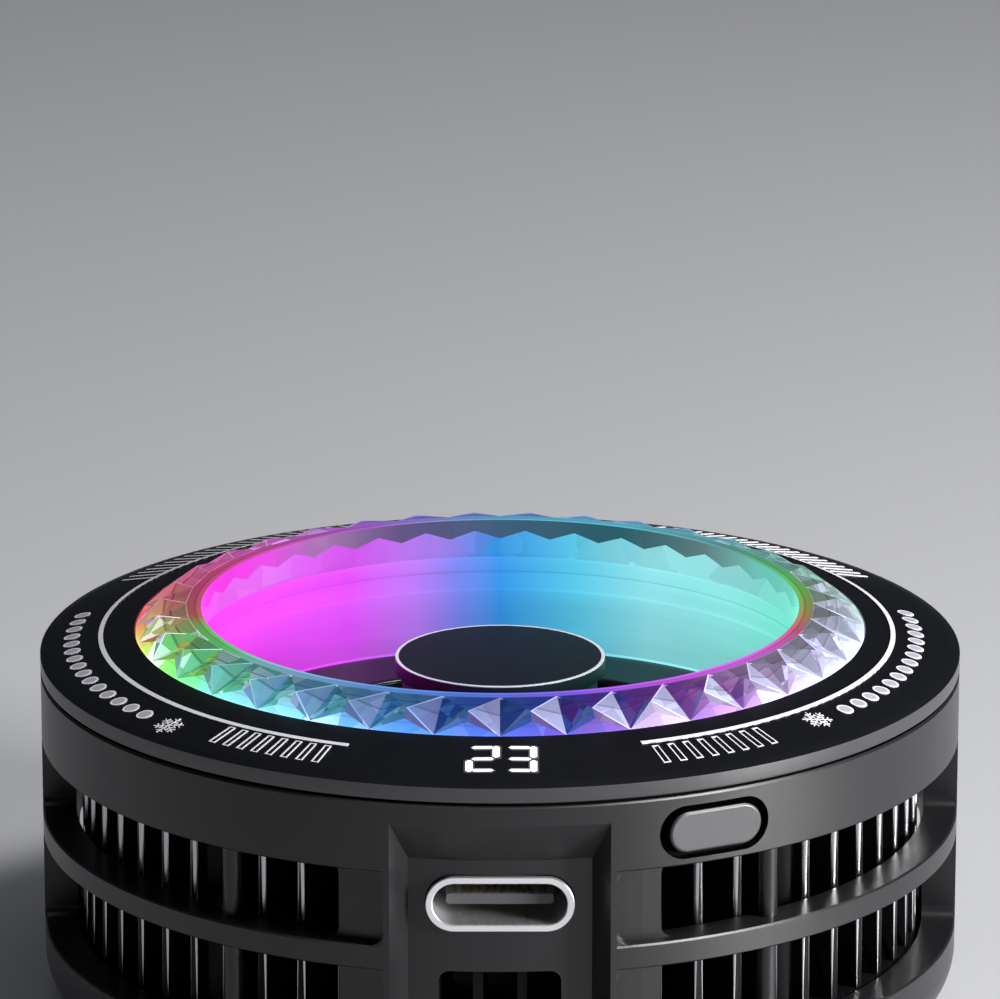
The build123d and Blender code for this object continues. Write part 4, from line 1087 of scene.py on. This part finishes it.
def makeDigits():
    near, far = digits["near"] + digits["bar"] / 2, digits["far"] - digits["bar"] / 2
    span = digits["wide"] - digits["stroke"]
    tall = (digits["far"] - digits["near"]) / 2 - digits["gap"]
    flat = span - digits["stroke"] + digits["overlap"]
    upper, lower = digits["near"] + tall / 2, digits["far"] - tall / 2
    layers = (("digitHalo", digits["halo"], digits["haloGlow"], -digits["haloSink"]),
              ("litDigits", 0, digits["strength"], 0))
    for name, extra, strength, lift in layers:
        strips = []
        for shown, centre in zip(digits["shown"], (digits["left"], digits["right"])):
            left, right = centre - span / 2, centre + span / 2
            bars = [
                ((centre, near), flat, False), ((right, upper), tall, True), ((left, upper), tall, True),
                ((centre, (near + far) / 2), flat, False), ((left, lower), tall, True),
                ((right, lower), tall, True), ((centre, far), flat, False),
            ]
            for number in shown:
                outline = segmentOutline(*bars[number], extra)
                strips.append([(math.hypot(x, y), math.degrees(math.atan2(x, y))) for x, y in outline])
        piece = slabOnPlate(name, strips, digitMaterial(name + "Glow", strength), lift)
        keepPiece(piece, "lamp_white")


makeDigits()


# contacts on the socket's tongue

tongueLow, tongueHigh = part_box("socket_tongue")
contacts = {"count": 12, "pitch": 0.5 * mm, "wide": 0.26 * mm, "long": 3.0 * mm, "thick": 0.03 * mm,
            "sink": 0.01 * mm, "tongueHalf": 0.35 * mm, "setBack": 0.25 * mm}


def makeContacts():
    half = contacts["wide"] / 2
    near = tongueLow.y + contacts["setBack"]
    far = near + contacts["long"]
    outline = roundCorners([(-half, near), (half, near), (half, far), (-half, far)], [half * 0.8] * 4, 3)
    for word, side in (("Upper", 1), ("Lower", -1)):
        face = (tongueLow.z + tongueHigh.z) / 2 + side * contacts["tongueHalf"]
        low, high = sorted((face - side * contacts["sink"], face + side * contacts["thick"]))
        verts = [(x, y, level) for level in (high, low) for x, y in outline]
        piece = addMesh("contacts" + word, verts, slabFaces(len(outline)))
        repeatTile(piece, count=contacts["count"], step=(contacts["pitch"], 0, 0), material=finishes["gold"],
                   firstPlace=(-contacts["pitch"] * (contacts["count"] - 1) / 2, 0, 0))
        reshape(piece)
        keepPiece(piece, "socket_steel")


makeContacts()
print("digits and contacts made")


# pale floor, soft lights and the camera

studio = {
    "floorHalf": 3.0, "floorTone": (0.36, 0.365, 0.38), "paler": 1.03, "world": (0.80, 0.88, 1.0),
    "worldStrength": 0.035, "aim": (0, 0, 15 * mm), "lens": 243.3, "sensor": 36, "near": 0.01, "far": 50,
    "camera": (0, -422.19 * mm, 154.33 * mm), "pitch": 15.94,
}
# each light's place, size, power and colour
lights = {
    "keySoft": ((0.35, -0.18, 0.09), (0.11, 0.13), 4.6, (1.0, 0.99, 0.98)),
    "edgeSoft": ((0.28, -0.06, 0.50), (0.18, 0.14), 3.4, (1.0, 0.99, 0.98)),
    "topSoft": ((0.0, -0.10, 0.9), (0.8, 0.6), 1.6, (0.97, 0.98, 1.0)),
    "leftRim": ((-0.46, 0.20, 0.03), (0.22, 0.10), 0.25, (0.92, 0.95, 1.0)),
}


def floorMaterial():
    material, tree = startMaterial("paleFloor")
    tone = studio["floorTone"]
    paler = tuple(value * studio["paler"] for value in tone)
    shade(tree, {
        "Base Color": colourOf(tree, noiseAt(tree, 3, 3), [(0.3, tone), (0.7, paler)]), "Roughness": 0.6})
    return material


def makeStudio():
    half = studio["floorHalf"]
    floor = addMesh("floor", [(-half, -half, 0), (half, -half, 0), (half, half, 0), (-half, half, 0)],
                    [(0, 1, 2, 3)], floorMaterial())
    scene = bpy.context.scene
    scene.world = bpy.data.worlds.new("studioAir")
    scene.world.use_nodes = True
    air = scene.world.node_tree
    give(air, air.nodes["Background"], {"Color": (*studio["world"], 1), "Strength": studio["worldStrength"]})
    for name, (place, size, power, colour) in lights.items():
        lamp = bpy.data.lights.new(name, "AREA")
        lamp.shape = "RECTANGLE"
        lamp.size, lamp.size_y = size
        lamp.energy = power
        lamp.color = colour
        holder = addObject(name, lamp)
        holder.location = place
        aim = Vector(studio["aim"]) - Vector(place)
        holder.rotation_euler = aim.to_track_quat("-Z", "Y").to_euler()
    lens = bpy.data.cameras.new("photoCamera")
    lens.lens = studio["lens"]
    lens.sensor_width = studio["sensor"]
    lens.clip_start = studio["near"]
    lens.clip_end = studio["far"]
    camera = addObject("photoCamera", lens)
    camera.location = studio["camera"]
    camera.rotation_euler = (math.radians(90 - studio["pitch"]), 0, 0)
    scene.camera = camera
    scene.view_settings.view_transform = "Standard"


makeStudio()
print("studio set")
